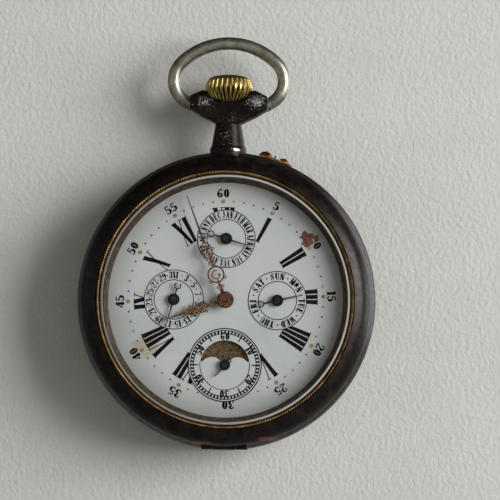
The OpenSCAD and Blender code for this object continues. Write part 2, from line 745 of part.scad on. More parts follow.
module hour_hand() color(copper) upright() rotate(-hour_angle) {
    slab(hour_hand_z, hour_hand_z + hand_t) difference() {
        union() {
            circle(1.7);
            fancy_hand(5.4, 1.2, 6.7, 9.1, 0.95, 10.2, hour_len);
        }
        circle(hour_pipe_r - 0.3);
    }
    ring(1.45, hour_pipe_r - 0.3, hour_hand_z + hand_t, hour_hand_z + hand_t + 0.2);
}

module minute_hand() color(copper) upright() rotate(-minute_angle) {
    slab(minute_hand_z, minute_hand_z + hand_t) {
        circle(1.85);
        difference() {
            fancy_hand(5.9, 1.9, 9.2, 13.8, 1.2, 15, minute_len);
            circle(1.8);
        }
    }
    ring(1.5, 0.8, minute_hand_z + hand_t, minute_hand_z + hand_t + 0.3);
    disc(0.55, minute_hand_z + hand_t, minute_hand_z + hand_t + 0.45);
}

// Plain calendar hand: a round boss, a tapered pointer and a tail that ends in an open crescent
module calendar_hand(len, tail) {
    crescent_r = 0.78;
    circle(1.3);
    needle(1, len, 0.36, 0.12);
    rotate(180) needle(1, tail - 2 * crescent_r + 0.2, 0.3, 0.3);
    translate([0, crescent_r - tail]) difference() {
        annulus(crescent_r, crescent_r - 0.24);
        polygon([[0, 0], polar(2, -120), polar(2, -60)]);
    }
}

module small_hand(p, a) at(p, -a) {
    slab(small_hand_z, small_hand_z + hand_t) children();
    disc(1.05, small_hand_z + hand_t, small_hand_z + hand_t + 0.15);
}

module date_hand() color(blued) upright() small_hand(date_at, date_angle)
    calendar_hand(calendar_len + 0.3, 3.9);
module day_hand() color(blued) upright() small_hand(day_at, day_angle)
    calendar_hand(calendar_len - 0.2, 4.5);
module month_hand() color(blued) upright() small_hand(month_at, month_angle)
    calendar_hand(calendar_len, 4.3);

module seconds_hand() color(blued) upright() small_hand(fourth, seconds_angle) {
    circle(1.2);
    needle(1, 3.3, 0.34, 0.22);
    rotate(180) translate([0, 1.35]) difference() {
        annulus(0.62, 0.38);
        polygon([[0, 0], polar(2, 60), polar(2, 120)]);
    }
}

// Calendar work under the dial

// A star wheel on its arbor, which carries the hand; its first gap points along phase
module star(p, points, phase) at(p) {
    slab(star_z, star_z + star_t) {
        difference() {
            polygon([for (i = [0 : 2 * points - 1])
                polar(i % 2 == 0 ? star_r * (1 - 2.2 / (points + 8)) : star_r, phase + 180 * i / points)]);
            for (i = [0 : 3]) rotate(90 * i + 45) translate([star_r * 0.42, 0]) circle(star_r * 0.17);
        }
    }
    disc(1, star_z + star_t, star_z + star_t + 0.4);
    disc(hand_arbor_r, plate_top_z + 0.05, small_hand_z);
    disc(pivot_r, plate_top_z - 1, plate_top_z + 0.05);
}

date_phase = 200;
day_phase = -20;
month_phase = 150;
moon_phase = -13 * 180 / moon_n;

module date_star() color(steel) upright() star(date_at, 31, date_phase);
module day_star() color(steel) upright() star(day_at, 7, day_phase);
module month_star() color(steel) upright() star(month_at, 12, month_phase);

// A sprung jumper: a screwed foot, a long thin arm and a nose that rests between two teeth
module jumper(p, tip_r, phase, side, z) at(p, phase) {
    foot = [tip_r + 2.6, side * 5.6];
    slab(z, z + 0.35) difference() {
        union() {
            translate(foot) circle(1.1);
            bar([tip_r + 1.2, 0], foot, 0.5);
            polygon([[tip_r, 0], [tip_r + 1.5, -0.55], [tip_r + 1.5, 0.55]]);
        }
        translate(foot) circle(screw_r);
    }
    translate(foot) {
        disc(screw_r, plate_top_z - 1, z + 0.35);
        disc(screw_r * 1.4, z + 0.35, z + 0.5);
    }
    if (z > plate_top_z + 0.01) translate(foot) ring(1.1, screw_r, plate_top_z, z);
}

function star_root(points) = star_r * (1 - 2.2 / (points + 8));

module date_jumper() color(steel) upright() jumper(date_at, star_root(31) + 0.06, date_phase, 1, star_z);
module day_jumper() color(steel) upright() jumper(day_at, star_root(7) + 0.06, day_phase, -1, star_z);
module month_jumper() color(steel) upright()
    jumper(month_at, star_root(12) + 0.06, month_phase, 1, star_z);
module moon_jumper() color(steel) upright()
    jumper(fourth, moon_disc_r - 0.2, moon_phase, 1, moon_z);

finger_len = norm(date_drive - date_at) - star_r + 0.35;

// A 24-hour wheel: it turns on a post in the main plate, and a finger under it moves a star
module drive_wheel(p, mesh_dir, finger_dir) at(p) {
    m = 2 * drive_a / (drive_n + drive_leaves);
    difference() {
        union() {
            slab(drive_z, drive_z + drive_t) spoked(drive_n, m, mesh_dir + 180 / drive_n, 1.4, 4, 0.7);
            disc(1, star_z, drive_z);
            slab(star_z, star_z + 0.4) rotate(finger_dir) needle_x(finger_len);
        }
        disc(0.5 + fit, 0, dial_back_z);
    }
}
module needle_x(len) polygon([[0, -0.45], [len, -0.15], [len, 0.15], [0, 0.45]]);

module date_drive_wheel() color("goldenrod") upright() drive_wheel(date_drive, 270 + drive_dir, 60);
module day_drive_wheel() color("goldenrod") upright() drive_wheel(day_drive, 270 - drive_dir, 120);

// Motion work

motion_m = 2 * motion_a / (cannon_n + minute_n);
hour_m = 2 * motion_a / (minute_leaves + hour_n);
drive_m = 2 * drive_a / (drive_n + drive_leaves);
cannon_r = 0.7;
center_arbor_r = 0.4;

module cannon_pinion() color(steel) upright() difference() {
    union() {
        slab(minute_z, minute_z + pinion_t) teeth(cannon_n, motion_m, motion_dir + 180 / cannon_n);
        disc(cannon_r, minute_z, minute_hand_z);
    }
    disc(center_arbor_r + fit, 0, big);
}

module minute_wheel() color("goldenrod") upright() at(minute_at) {
    difference() {
        union() {
            slab(minute_z, minute_z + wheel_t) spoked(minute_n, motion_m, motion_dir + 180, 1.1, 4, 0.7);
            slab(minute_z + wheel_t, hour_z + wheel_t + 0.1)
                teeth(minute_leaves, hour_m, motion_dir + 180 + 180 / minute_leaves);
        }
        disc(0.4 + fit, 0, dial_back_z);
    }
}

module hour_wheel() color("goldenrod") upright() difference() {
    union() {
        slab(hour_z, hour_z + wheel_t) spoked(hour_n, hour_m, motion_dir, 1.4, 5, 0.6);
        slab(hour_z + wheel_t, drive_z + drive_t) teeth(drive_leaves, drive_m, 90 + drive_dir);
        disc(hour_pipe_r, hour_z, hour_hand_z);
    }
    disc(cannon_r + fit, 0, big);
}

// Movement

third_dir = atan2(third[1], third[0]);
center_m = 2 * center_a / (center_n + train_leaves);
third_m = 2 * third_a / (third_n + train_leaves);
fourth_m = 2 * fourth_a / (fourth_n + escape_leaves);
barrel_m = 2 * barrel_a / (barrel_n + center_leaves);
third_to_fourth = atan2(fourth[1] - third[1], fourth[0] - third[0]);
barrel_tip_r = barrel_n * barrel_m / 2 + barrel_m;
balance_reach = balance_r + 0.4;

barrel_bridge_screws = [polar(22.9, 22), polar(24, barrel_dir), polar(22.9, 115), polar(22.9, 155)];
train_bridge_screws = [polar(22.9, 195), polar(22.9, 235)];
pallet_bridge_screws = [polar(23.2, 276), polar(23.2, 292)];
balance_dir = atan2(balance[1], balance[0]);
cock_screw = polar(bridge_r - 1.3, balance_dir);

lever_pivot = [11.2, 21.6];
lever_push = polar(set_in_r, clock(set_angle));
lever_t = 0.6;
lever_z = mid_z - lever_t / 2;
lever_end = [1.05, winding_pinion_y - 1.15];
clutch_y = winding_pinion_y - 0.15;

click_foot = [13.2, 18.3];
click_dir = 98;
ratchet_root_r = ratchet_n * winding_m / 2 - 1.3 * winding_m;

module rooms_above_plate() {
    at(barrel_at) circle(barrel_tip_r + 0.25);
    circle(center_n * center_m / 2 + 0.6);
    at(third) circle(third_n * third_m / 2 + 0.5);
    at(fourth) circle(fourth_n * fourth_m / 2 + 0.4);
    at(escape) circle(escape_r + 0.5);
    at(balance) circle(balance_reach + 0.5);
    winding_slot();
    at(lever_pivot) circle(1.5);
    bar(lever_pivot + [0, -1], lever_end + [0, -1.4], 4.6);
    bar(lever_pivot, lever_push, 2.4);
    bar(lever_push + [0.2, -0.3], lever_end + [1.4, -0.6], 3.2);
}

module winding_slot() {
    w = winding_pinion_r + 0.25;
    translate([-w, winding_pinion_y - 0.15]) square([2 * w, winding_pinion_t + 0.3]);
    translate([-clutch_r - 0.2, clutch_y - clutch_len - 2.6])
        square([2 * clutch_r + 0.4, clutch_len + 2.8]);
}

// What the bridges stand on: the rim of their own outline, clear of the wheels
module foot_of(z0) slab(z0, plate_z) difference() {
    intersection() {
        children();
        annulus(bridge_r, bridge_r - 4.7);
    }
    rooms_above_plate();
}

module screw_holes(list, z0, z1) for (p = list) at(p) disc(screw_r, z0, z1);
module head_seats(list, z) for (p = list) at(p) disc(screw_head_r + 0.1, z, z + 0.5);

module mainplate() color("goldenrod") upright() difference() {
    union() {
        difference() {
            disc(plate_r, plate_z, dial_back_z);
            disc(ledge_r, plate_top_z, dial_z);
        }
        for (p = [date_drive, day_drive]) at(p) disc(0.5, plate_top_z - 0.1, dial_back_z - 0.1);
        at(minute_at) disc(0.4, plate_top_z - 0.1, dial_back_z - 0.1);
        at(fourth) disc(hand_arbor_r + 0.35, plate_top_z - 0.1, dial_back_z - 0.1);
        at(lever_pivot) disc(0.5, lever_z - 0.1, plate_z + 0.1);
    }
    at(barrel_at) disc(barrel_tip_r + 0.2, 0, barrel_z + barrel_h + 0.1);
    at(barrel_at) disc(arbor_r + fit, 0, plate_top_z - 0.2);
    disc(center_arbor_r + 0.2, 0, big);
    at(fourth) disc(hand_arbor_r + fit, 0, big);
    for (p = [third, escape, pallet, balance]) at(p) {
        disc(jewel_r, 0, plate_z + 0.5);
        disc(pivot_r + 0.15, 0, plate_z + 1.1);
    }
    for (p = [date_at, day_at, month_at]) at(p) disc(pivot_r + fit, plate_top_z - 1.1, big);
    for (p = foot_at) at(p) disc(dial_foot_r + fit, plate_top_z - 1.3, big);
    for (p = jumper_feet) at(p) disc(screw_r, plate_top_z - 1, plate_top_z + 1);
    screw_holes(case_screw_at, 0, plate_z + 1.5);
    screw_holes(concat(barrel_bridge_screws, train_bridge_screws, pallet_bridge_screws, [cock_screw]),
        0, plate_z + 1.4);
    slab(0, big) winding_pinion_slot();
    along_y_at_stem(clutch_r + 0.2, clutch_y - clutch_len - 2.6, winding_pinion_y);
    along_y_at_stem(stem_r + 0.1, 0, case_r);
}

module winding_pinion_slot() translate([-winding_pinion_r - 0.25, winding_pinion_y - 0.15])
    square([2 * winding_pinion_r + 0.5, winding_pinion_t + 0.3]);

// Where a jumper's foot lies, from the same numbers as jumper()
function jumper_foot(p, tip_r, phase, side) = let (f = [tip_r + 2.6, side * 5.6])
    p + [f[0] * cos(phase) - f[1] * sin(phase), f[0] * sin(phase) + f[1] * cos(phase)];
jumper_feet = [jumper_foot(date_at, star_root(31) + 0.06, date_phase, 1),
    jumper_foot(day_at, star_root(7) + 0.06, day_phase, -1),
    jumper_foot(month_at, star_root(12) + 0.06, month_phase, 1),
    jumper_foot(fourth, moon_disc_r - 0.2, moon_phase, 1)];

// Upper half of the movement, less the balance and the train bridge's boss
module barrel_bridge_shape() difference() {
    intersection() {
        circle(bridge_r);
        translate([-bridge_r, 0.9]) square(2 * bridge_r);
    }
    circle(2.9);
    at(balance) circle(balance_reach + 0.7);
    for (p = case_screw_at) at(p) circle(case_screw_r + 0.25);
}

module winding_recess() {
    at(barrel_at) circle(ratchet_n * winding_m / 2 + 0.5);
    at(crown_wheel_at) circle(crown_wheel_n * winding_m / 2 + 0.5);
    bar(click_heel() + [0.3, 0.2], click_foot, 2.6);
    at(click_heel() + [0.4, 0.1]) circle(1.3);
    at(click_foot) circle(1.4);
}

module barrel_bridge() color([0.75, 0.62, 0.36]) upright() difference() {
    union() {
        slab(bridge_z, bridge_top_z) barrel_bridge_shape();
        foot_of(bridge_top_z - eps) barrel_bridge_shape();
    }
    slab(bridge_z - 1, recess_z) winding_recess();
    at(barrel_at) disc(arbor_r + 0.55 + fit, 0, big);
    at(crown_wheel_at) disc(0.7, 0, bridge_top_z - 0.3);
    at(click_foot) disc(screw_r, 0, bridge_top_z - 0.1);
    screw_holes(barrel_bridge_screws, 0, big);
    head_seats(barrel_bridge_screws, bridge_z - 0.1);
    slab(0, big) winding_pinion_slot();
    along_y_at_stem(clutch_r + 0.2, clutch_y - clutch_len - 2.6, winding_pinion_y);
    along_y_at_stem(stem_r + 0.1, 0, case_r);
}

// Lower left of the movement, round the centre, third and fourth pivots
module train_bridge_shape() difference() {
    union() {
        circle(2.7);
        at(fourth) circle(2.4);
        intersection() {
            circle(bridge_r);
            polygon([[0, 0.5], [-case_r, 0.5], [-case_r, -case_r], polar(bridge_r + 1, 255),
                fourth + [1, -2], fourth + [2.2, 1], [2.5, -1]]);
        }
    }
    at(balance) circle(balance_reach + 0.7);
}

module train_bridge() color([0.75, 0.62, 0.36]) upright() difference() {
    union() {
        slab(bridge_z, bridge_top_z) train_bridge_shape();
        foot_of(bridge_top_z - eps) train_bridge_shape();
    }
    disc(pivot_r + 0.4 + fit, 0, big);
    for (p = [third, fourth]) at(p) {
        disc(pivot_r + 0.15, bridge_z - 1, big);
        disc(jewel_r, bridge_top_z - 0.5, big);
    }
    screw_holes(train_bridge_screws, 0, big);
    head_seats(train_bridge_screws, bridge_z - 0.1);
}

module pallet_bridge_shape() {
    bar(escape, pallet, 2.6);
    at(pallet) circle(1.6);
    at(escape) circle(1.6);
    bar(escape, (pallet_bridge_screws[0] + pallet_bridge_screws[1]) / 2, 3);
    intersection() {
        annulus(bridge_r, bridge_r - 3.3);
        polygon([[0, 0], polar(case_r, 272), polar(case_r, 284), polar(case_r, 296)]);
    }
}

module pallet_bridge() color([0.75, 0.62, 0.36]) upright() difference() {
    union() {
        slab(escape_bridge_z, escape_bridge_z + escape_bridge_t) pallet_bridge_shape();
        foot_of(escape_bridge_z + escape_bridge_t - eps) pallet_bridge_shape();
    }
    for (p = [escape, pallet]) at(p) disc(jewel_r, 0, big);
    screw_holes(pallet_bridge_screws, 0, big);
}

module balance_cock() color([0.75, 0.62, 0.36]) upright() difference() {
    union() {
        slab(cock_z, bridge_z) {
            at(balance) circle(2.6);
            bar(balance, cock_screw, 3.4);
            cock_foot_shape();
        }
        slab(bridge_z - eps, plate_z) difference() {
            cock_foot_shape();
            at(balance) circle(balance_reach + 0.3);
        }
        at(balance) disc(1.1, cock_z - 0.4, cock_z + eps);
    }
    at(balance) disc(pivot_r + 0.15, cock_z, big);
    at(balance) disc(jewel_r, bridge_z - 0.5, big);
    screw_holes([cock_screw], cock_z - 1, big);
}

module cock_foot_shape() intersection() {
    annulus(bridge_r, bridge_r - 2.7);
    polygon([[0, 0], polar(case_r, balance_dir - 20), polar(case_r, balance_dir),
        polar(case_r, balance_dir + 20)]);
}

module regulator_index() color(steel) upright() at(balance, balance_dir + 180)
    slab(cock_z - 0.35, cock_z - 0.1) difference() {
        union() {
            circle(1.8);
            needle_x(6.2);
        }
        circle(1.1 + fit);
    }

module bridge_screws() color(blued) upright() {
    for (p = concat(barrel_bridge_screws, train_bridge_screws)) at(p) slotted_screw(bridge_z - 0.1);
    for (p = pallet_bridge_screws) at(p) slotted_screw(escape_bridge_z - 0.5, 0.9);
    at(cock_screw) slotted_screw(cock_z - 0.5);
    at(click_foot) {
        disc(screw_r, winding_z, bridge_top_z - 0.1);
        disc(1, winding_z - 0.4, winding_z);
    }
}

module slotted_screw(z, head = screw_head_r) {
    difference() {
        disc(head, z, z + 0.5);
        translate([-head - 1, -0.12, z - 0.1]) cube([2 * head + 2, 0.24, 0.3]);
    }
    disc(screw_r, z + 0.4, plate_z + 1.4);
}

module jewels() color(ruby) upright() {
    for (p = [third, escape, pallet, balance]) at(p) jewel(plate_z);
    for (p = [third, fourth]) at(p) jewel(bridge_top_z - 0.5);
    for (p = [escape, pallet]) at(p) jewel(escape_bridge_z);
    at(balance) jewel(bridge_z - 0.5);
}
module jewel(z) ring(jewel_r, pivot_r + fit, z, z + 0.5);

// Going train

module center_wheel() color("goldenrod") upright() {
    slab(center_wheel_z, center_wheel_z + wheel_t)
        spoked(center_n, center_m, third_dir, 2.2, 5, 0.9);
    slab(barrel_z - 0.1, barrel_z + barrel_rim_t + 0.1)
        teeth(center_leaves, barrel_m, barrel_dir + 180 / center_leaves);
    disc(0.9, center_wheel_z - 0.25, barrel_z + barrel_rim_t + 0.6);
    disc(pivot_r + 0.4, bridge_z + 0.3, center_wheel_z);
    disc(center_arbor_r, barrel_z + barrel_rim_t, minute_hand_z);
}

module third_wheel() color("goldenrod") upright() at(third) {
    slab(third_wheel_z, third_wheel_z + wheel_t)
        spoked(third_n, third_m, third_to_fourth, 1.3, 5, 0.7);
    slab(center_wheel_z - 0.1, center_wheel_z + wheel_t + 0.1)
        teeth(train_leaves, center_m, third_dir + 180 + 180 / train_leaves);
    arbor(bridge_top_z + 0.05, plate_z - 0.05);
}

module fourth_wheel() color("goldenrod") upright() at(fourth) {
    slab(fourth_wheel_z, fourth_wheel_z + wheel_t)
        spoked(fourth_n, fourth_m, escape_dir, 1.2, 5, 0.6);
    slab(third_wheel_z - 0.1, third_wheel_z + wheel_t + 0.1)
        teeth(train_leaves, third_m, third_to_fourth + 180 + 180 / train_leaves);
    disc(hand_arbor_r, bridge_top_z + 0.05, small_hand_z);
    disc(pivot_r, bridge_top_z - 0.85, bridge_top_z + 0.06);
}

escape_teeth = 15;

// Club teeth: a radial-leaning front, a slanted back and a short flat tip
module escape_outline() polygon([for (i = [0 : escape_teeth - 1])
    let (a = pallet_dir - 30 + 180 / escape_teeth * 0.5 + 360 / escape_teeth * i)
    each [polar(escape_r * 0.74, a - 9), polar(escape_r * 0.8, a - 2.5), polar(escape_r, a - 1.4),
        polar(escape_r, a + 1.4), polar(escape_r * 0.74, a + 2.5)]]);

module escape_wheel() color(steel) upright() at(escape) {
    slab(escape_z, escape_z + wheel_t) {
        difference() {
            escape_outline();
            circle(escape_r * 0.6);
        }
        circle(0.9);
        for (i = [0 : 3]) rotate(90 * i) translate([0, -0.22]) square([escape_r * 0.62, 0.44]);
    }
    slab(fourth_wheel_z - 0.08, fourth_wheel_z + wheel_t + 0.08)
        teeth(escape_leaves, fourth_m, escape_dir + 180 + 180 / escape_leaves);
    arbor(escape_bridge_z + escape_bridge_t + 0.05, plate_z - 0.05, 0.35, pivot_r, 0.5, 0.5);
}

impulse_r = 1.3;
impulse_pin_r = 0.22;
pallet_gap = 0.06;

// The lever: two arms whose stones face the escape wheel, and a fork that cups the impulse pin
module pallet_fork() color(steel) upright() at(pallet) {
    slab(escape_z - 0.05, escape_z + wheel_t + 0.15) {
        difference() {
            union() {
                circle(pallet_a - escape_r - 0.08);
                bar([0, 0], polar(lever_a - impulse_r - 0.6, lever_dir), 0.55);
                rotate(lever_dir) translate([lever_a - impulse_r - 0.6, 0]) circle(0.95);
                for (s = [-1, 1]) {
                    stone = polar(escape_r + pallet_gap + 0.45, pallet_dir + 30 * s)
                        - polar(pallet_a, pallet_dir);
                    bar([0, 0], stone, 0.6);
                    at(stone, pallet_dir + 30 * s) translate([-0.1, -0.35]) square([0.6, 0.7]);
                }
            }
            translate(polar(lever_a, lever_dir)) circle(impulse_r + impulse_pin_r + 0.05);
            rotate(lever_dir) translate([lever_a - impulse_r - 0.75, -impulse_pin_r - 0.04])
                square([2, 2 * impulse_pin_r + 0.08]);
        }
    }
    slab(escape_z, escape_z + wheel_t + 0.1) for (s = [-1, 1])
        translate(-polar(pallet_a, pallet_dir)) rotate(pallet_dir + 30 * s)
            translate([escape_r + pallet_gap, -0.18]) square([0.5, 0.36]);
    arbor(escape_bridge_z + escape_bridge_t + 0.05, plate_z - 0.05, 0.35, pivot_r, 0.5, 0.5);
}

rim_screws = 14;

module balance_wheel() color(gilt) upright() at(balance, lever_dir + 180) {
    slab(balance_z, balance_z + balance_t) annulus(balance_r, balance_r - 0.8);
    slab(balance_z + 0.3, balance_z + 0.7) {
        circle(1.3);
        translate([-balance_r + 0.3, -0.5]) square([2 * balance_r - 0.6, 1]);
    }
    for (i = [0 : rim_screws - 1]) rotate(360 * (i + 0.5) / rim_screws)
        translate([balance_r - 0.1, 0, balance_z + balance_t / 2]) rotate([0, 90, 0])
            cylinder(r = 0.35, h = 0.5);
    disc(impulse_r + 0.35, balance_z + balance_t + 0.25, balance_z + balance_t + 0.65);
    translate([impulse_r, 0, 0]) disc(impulse_pin_r, balance_z + balance_t + 0.6,
        escape_z + wheel_t + 0.15);
    arbor(bridge_z + 0.05, plate_z - 0.05, 0.4, pivot_r, 0.6, 0.6);
}

// A flat spiral of half turns, each wider than the last by half the pitch
module spiral(r0, pitch, halves, strip) for (k = [0 : halves - 1]) {
    r = r0 + k * pitch / 2;
    translate([k % 2 == 0 ? 0 : pitch / 2, 0]) rotate(k % 2 == 0 ? 0 : 180) intersection() {
        annulus(r + strip, r);
        translate([-2 * r, 0]) square([4 * r, 2 * r]);
    }
}

spring_halves = 13;
spring_pitch = 0.4;

module hairspring() color(blued) upright() at(balance) {
    slab(spring_z, spring_z + 0.25) {
        spiral(0.95, spring_pitch, spring_halves, 0.12);
        annulus(0.75, 0.4 + fit);
        translate([0.7, -0.1]) square([0.3, 0.1]);
    }
    last_r = 0.95 + (spring_halves - 1) * spring_pitch / 2;
    translate([-last_r - 0.1, -0.15, bridge_z]) cube([0.35, 0.35, 0.5]);
}

// Barrel and winding work

spring_coils = 14;

module barrel() color("goldenrod") upright() at(barrel_at) difference() {
    union() {
        slab(barrel_z, barrel_z + barrel_rim_t) teeth(barrel_n, barrel_m, barrel_dir + 180);
        disc(barrel_n * barrel_m / 2 - 2 * barrel_m, barrel_z, barrel_z + barrel_h);
    }
    disc(barrel_n * barrel_m / 2 - 2 * barrel_m - 0.6, barrel_z + 0.35, barrel_z + barrel_h - 0.35);
    disc(arbor_r + fit + 0.5, 0, big);
}

module mainspring() color(steel) upright() at(barrel_at) slab(barrel_z + 0.5, barrel_z + barrel_h - 0.5)
    spiral(2.6, 0.85, spring_coils, 0.25);

module barrel_arbor() color(steel) upright() at(barrel_at) {
    disc(arbor_r + 0.5, winding_z - 0.2, barrel_z + 0.4);
    disc(2, barrel_z + 0.4, barrel_z + barrel_h - 0.4);
    disc(arbor_r + 0.5, barrel_z + barrel_h - 0.4, barrel_z + barrel_h + 0.05);
    disc(arbor_r, barrel_z + barrel_h, plate_top_z - 0.25);
}

module ratchet_wheel() color(steel) upright() at(barrel_at) slab(winding_z, winding_z + winding_t)
    difference() {
        teeth(ratchet_n, winding_m, winding_dir + 180 + 180 / ratchet_n);
        circle(arbor_r + 0.5);
    }

module crown_wheel() color(steel) upright() at(crown_wheel_at) {
    slab(winding_z, winding_z + winding_t) teeth(crown_wheel_n, winding_m, winding_dir);
    disc(0.7 - fit, winding_z, bridge_top_z - 0.35);
}

// The ratchet's gap that lies nearest the click
click_gap_dir = winding_dir + 180
    + 360 / ratchet_n * round((click_dir - winding_dir - 180) * ratchet_n / 360);

function click_heel() = barrel_at + polar(ratchet_root_r + 1.3, click_gap_dir + 3);

// One-piece click: its nose lies between two ratchet teeth and its long arm is the spring
module click_spring() color(steel) upright() slab(winding_z, winding_z + winding_t - 0.1) {
    nose = barrel_at + polar(ratchet_root_r + 0.1, click_gap_dir);
    heel = click_heel();
    difference() {
        union() {
            polygon([nose, heel + [0.9, -0.2], heel + [0.2, 0.7]]);
            bar(heel + [0.35, 0.2], click_foot, 0.55);
            at(click_foot) circle(1.1);
        }
        at(click_foot) circle(screw_r);
    }
}

module winding_pinion() color(steel) upright() turned_teeth(winding_pinion_y, winding_pinion_t)
    difference() {
        teeth(winding_pinion_n, 2 * winding_pinion_r / (winding_pinion_n + 1.8), 0);
        circle(stem_r);
    }

// A flat outline given thickness along the stem
module turned_teeth(y, t) translate([0, y, mid_z]) rotate([-90, 0, 0]) linear_extrude(t) children();

module clutch_wheel() color(steel) upright() {
    turned_teeth(clutch_y - 0.5, 0.4) clutch_section(clutch_r);
    turned_teeth(clutch_y - 1.5, 1) clutch_section(clutch_r - 0.5);
    turned_teeth(clutch_y - clutch_len, 0.3) clutch_section(clutch_r);
}
module clutch_section(r) annulus(r, stem_r + fit);

module setting_lever() color(steel) upright() slab(lever_z, lever_z + lever_t) difference() {
    union() {
        at(lever_pivot) circle(1.2);
        bar(lever_pivot, lever_push - polar(0.72, clock(set_angle)), 1.1);
        bar(lever_push - polar(0.6, clock(set_angle)), lever_end + [1.4, -0.2], 0.8);
        bar(lever_end + [1.5, -0.1], lever_end, 0.55);
    }
    at(lever_pivot) circle(0.5 + fit);
}

case_band();
pendant();
bezel();
bezel_ring();
crystal();
rehaut_ring();
back_cover();
cuvette();
hinge_pins();
bow();
crown();
winding_stem();
setting_pin();
pin_guard();
case_screws();
dial();
moon_disc();
hour_hand();
minute_hand();
seconds_hand();
date_hand();
day_hand();
month_hand();
date_star();
day_star();
month_star();
date_jumper();
day_jumper();
month_jumper();
moon_jumper();
date_drive_wheel();
day_drive_wheel();
cannon_pinion();
minute_wheel();
hour_wheel();
mainplate();
barrel_bridge();
train_bridge();
balance_cock();
pallet_bridge();
barrel();
mainspring();
barrel_arbor();
ratchet_wheel();
crown_wheel();
click_spring();
center_wheel();
third_wheel();
fourth_wheel();
escape_wheel();
pallet_fork();
balance_wheel();
hairspring();
regulator_index();
winding_pinion();
clutch_wheel();
setting_lever();
bridge_screws();
jewels();
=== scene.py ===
"""Looks of the calendar pocket watch: materials, dial print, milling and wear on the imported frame.

The shared frame is in metres, with the dial facing -Y and twelve o'clock at +Z. Places on the dial are
given as a clock angle in degrees and a radius in millimetres.
"""
import json
import math

import bpy
from mathutils import Matrix, Vector
from mathutils.geometry import tessellate_polygon

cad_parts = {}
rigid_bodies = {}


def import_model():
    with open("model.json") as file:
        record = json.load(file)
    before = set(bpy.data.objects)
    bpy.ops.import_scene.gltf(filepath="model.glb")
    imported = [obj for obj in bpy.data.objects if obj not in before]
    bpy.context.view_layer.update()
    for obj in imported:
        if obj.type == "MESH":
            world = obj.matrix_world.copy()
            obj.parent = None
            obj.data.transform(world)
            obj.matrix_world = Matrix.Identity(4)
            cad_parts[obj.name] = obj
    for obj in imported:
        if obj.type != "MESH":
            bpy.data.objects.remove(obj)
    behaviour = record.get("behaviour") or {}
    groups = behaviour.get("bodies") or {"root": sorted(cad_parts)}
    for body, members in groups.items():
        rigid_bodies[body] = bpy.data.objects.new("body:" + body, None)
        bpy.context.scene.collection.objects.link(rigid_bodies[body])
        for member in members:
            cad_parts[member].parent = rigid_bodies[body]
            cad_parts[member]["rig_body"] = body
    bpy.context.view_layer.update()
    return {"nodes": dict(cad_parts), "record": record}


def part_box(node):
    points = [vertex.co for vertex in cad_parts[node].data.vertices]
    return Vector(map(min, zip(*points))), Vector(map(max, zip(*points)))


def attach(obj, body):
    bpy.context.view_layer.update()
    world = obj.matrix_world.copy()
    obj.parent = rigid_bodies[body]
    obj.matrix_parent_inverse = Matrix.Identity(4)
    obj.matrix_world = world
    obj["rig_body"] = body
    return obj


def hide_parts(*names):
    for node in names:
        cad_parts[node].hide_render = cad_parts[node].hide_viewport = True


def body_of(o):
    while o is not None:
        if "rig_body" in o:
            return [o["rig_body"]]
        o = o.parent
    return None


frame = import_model()
nodes = frame["nodes"]

MM = 0.001


# Sizes in millimetres; the level of the dial comes from the frame

def span(node):
    """(low, high) of a node's box in mm."""
    lo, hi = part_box(node)
    return [v / MM for v in lo], [v / MM for v in hi]


DIAL_Z = -span("dial")[0][1]
SIDE_X = 11.4
MONTH_Y = 13.5
SECONDS_Y = 14.3
CENTRE = (0, 0)
DATE_AT = (-SIDE_X, 0)
DAY_AT = (SIDE_X, 0)
MONTH_AT = (0, MONTH_Y)
SECONDS_AT = (0, -SECONDS_Y)
PRINT_AT = (0.03, 0.24)
PRINT_TURN = -2.0
PRINT_T = 0.012
MOON_R = 5.45


# Small geometry helpers

def clock(r, degrees, at=CENTRE):
    """Point at radius r and clock angle, as (x, y up)."""
    a = math.radians(degrees)
    return (at[0] + r * math.sin(a), at[1] + r * math.cos(a))


def on_print(r, degrees):
    """Point of the main print, which sits a little turned in the case."""
    return clock(r, degrees + PRINT_TURN, PRINT_AT)


def world(p, z):
    """(x, y up) on a level z above the back, all in mm, to the shared frame in metres."""
    return Vector((p[0] * MM, -z * MM, p[1] * MM))


def circle(r, at, sides):
    """Points of a circle round a point of the dial."""
    return [clock(r, 360 * i / sides, at) for i in range(sides)]


def new_object(name, verts, faces, smooth=False):
    """A mesh object linked to the scene."""
    mesh = bpy.data.meshes.new(name)
    mesh.from_pydata([tuple(v) for v in verts], [], faces)
    mesh.validate()
    mesh.update()
    for p in mesh.polygons:
        p.use_smooth = smooth
    obj = bpy.data.objects.new(name, mesh)
    bpy.context.scene.collection.objects.link(obj)
    return obj


def area(loop):
    """Signed area of a closed outline."""
    return sum(a[0] * b[1] - b[0] * a[1] for a, b in zip(loop, loop[1:] + loop[:1])) / 2


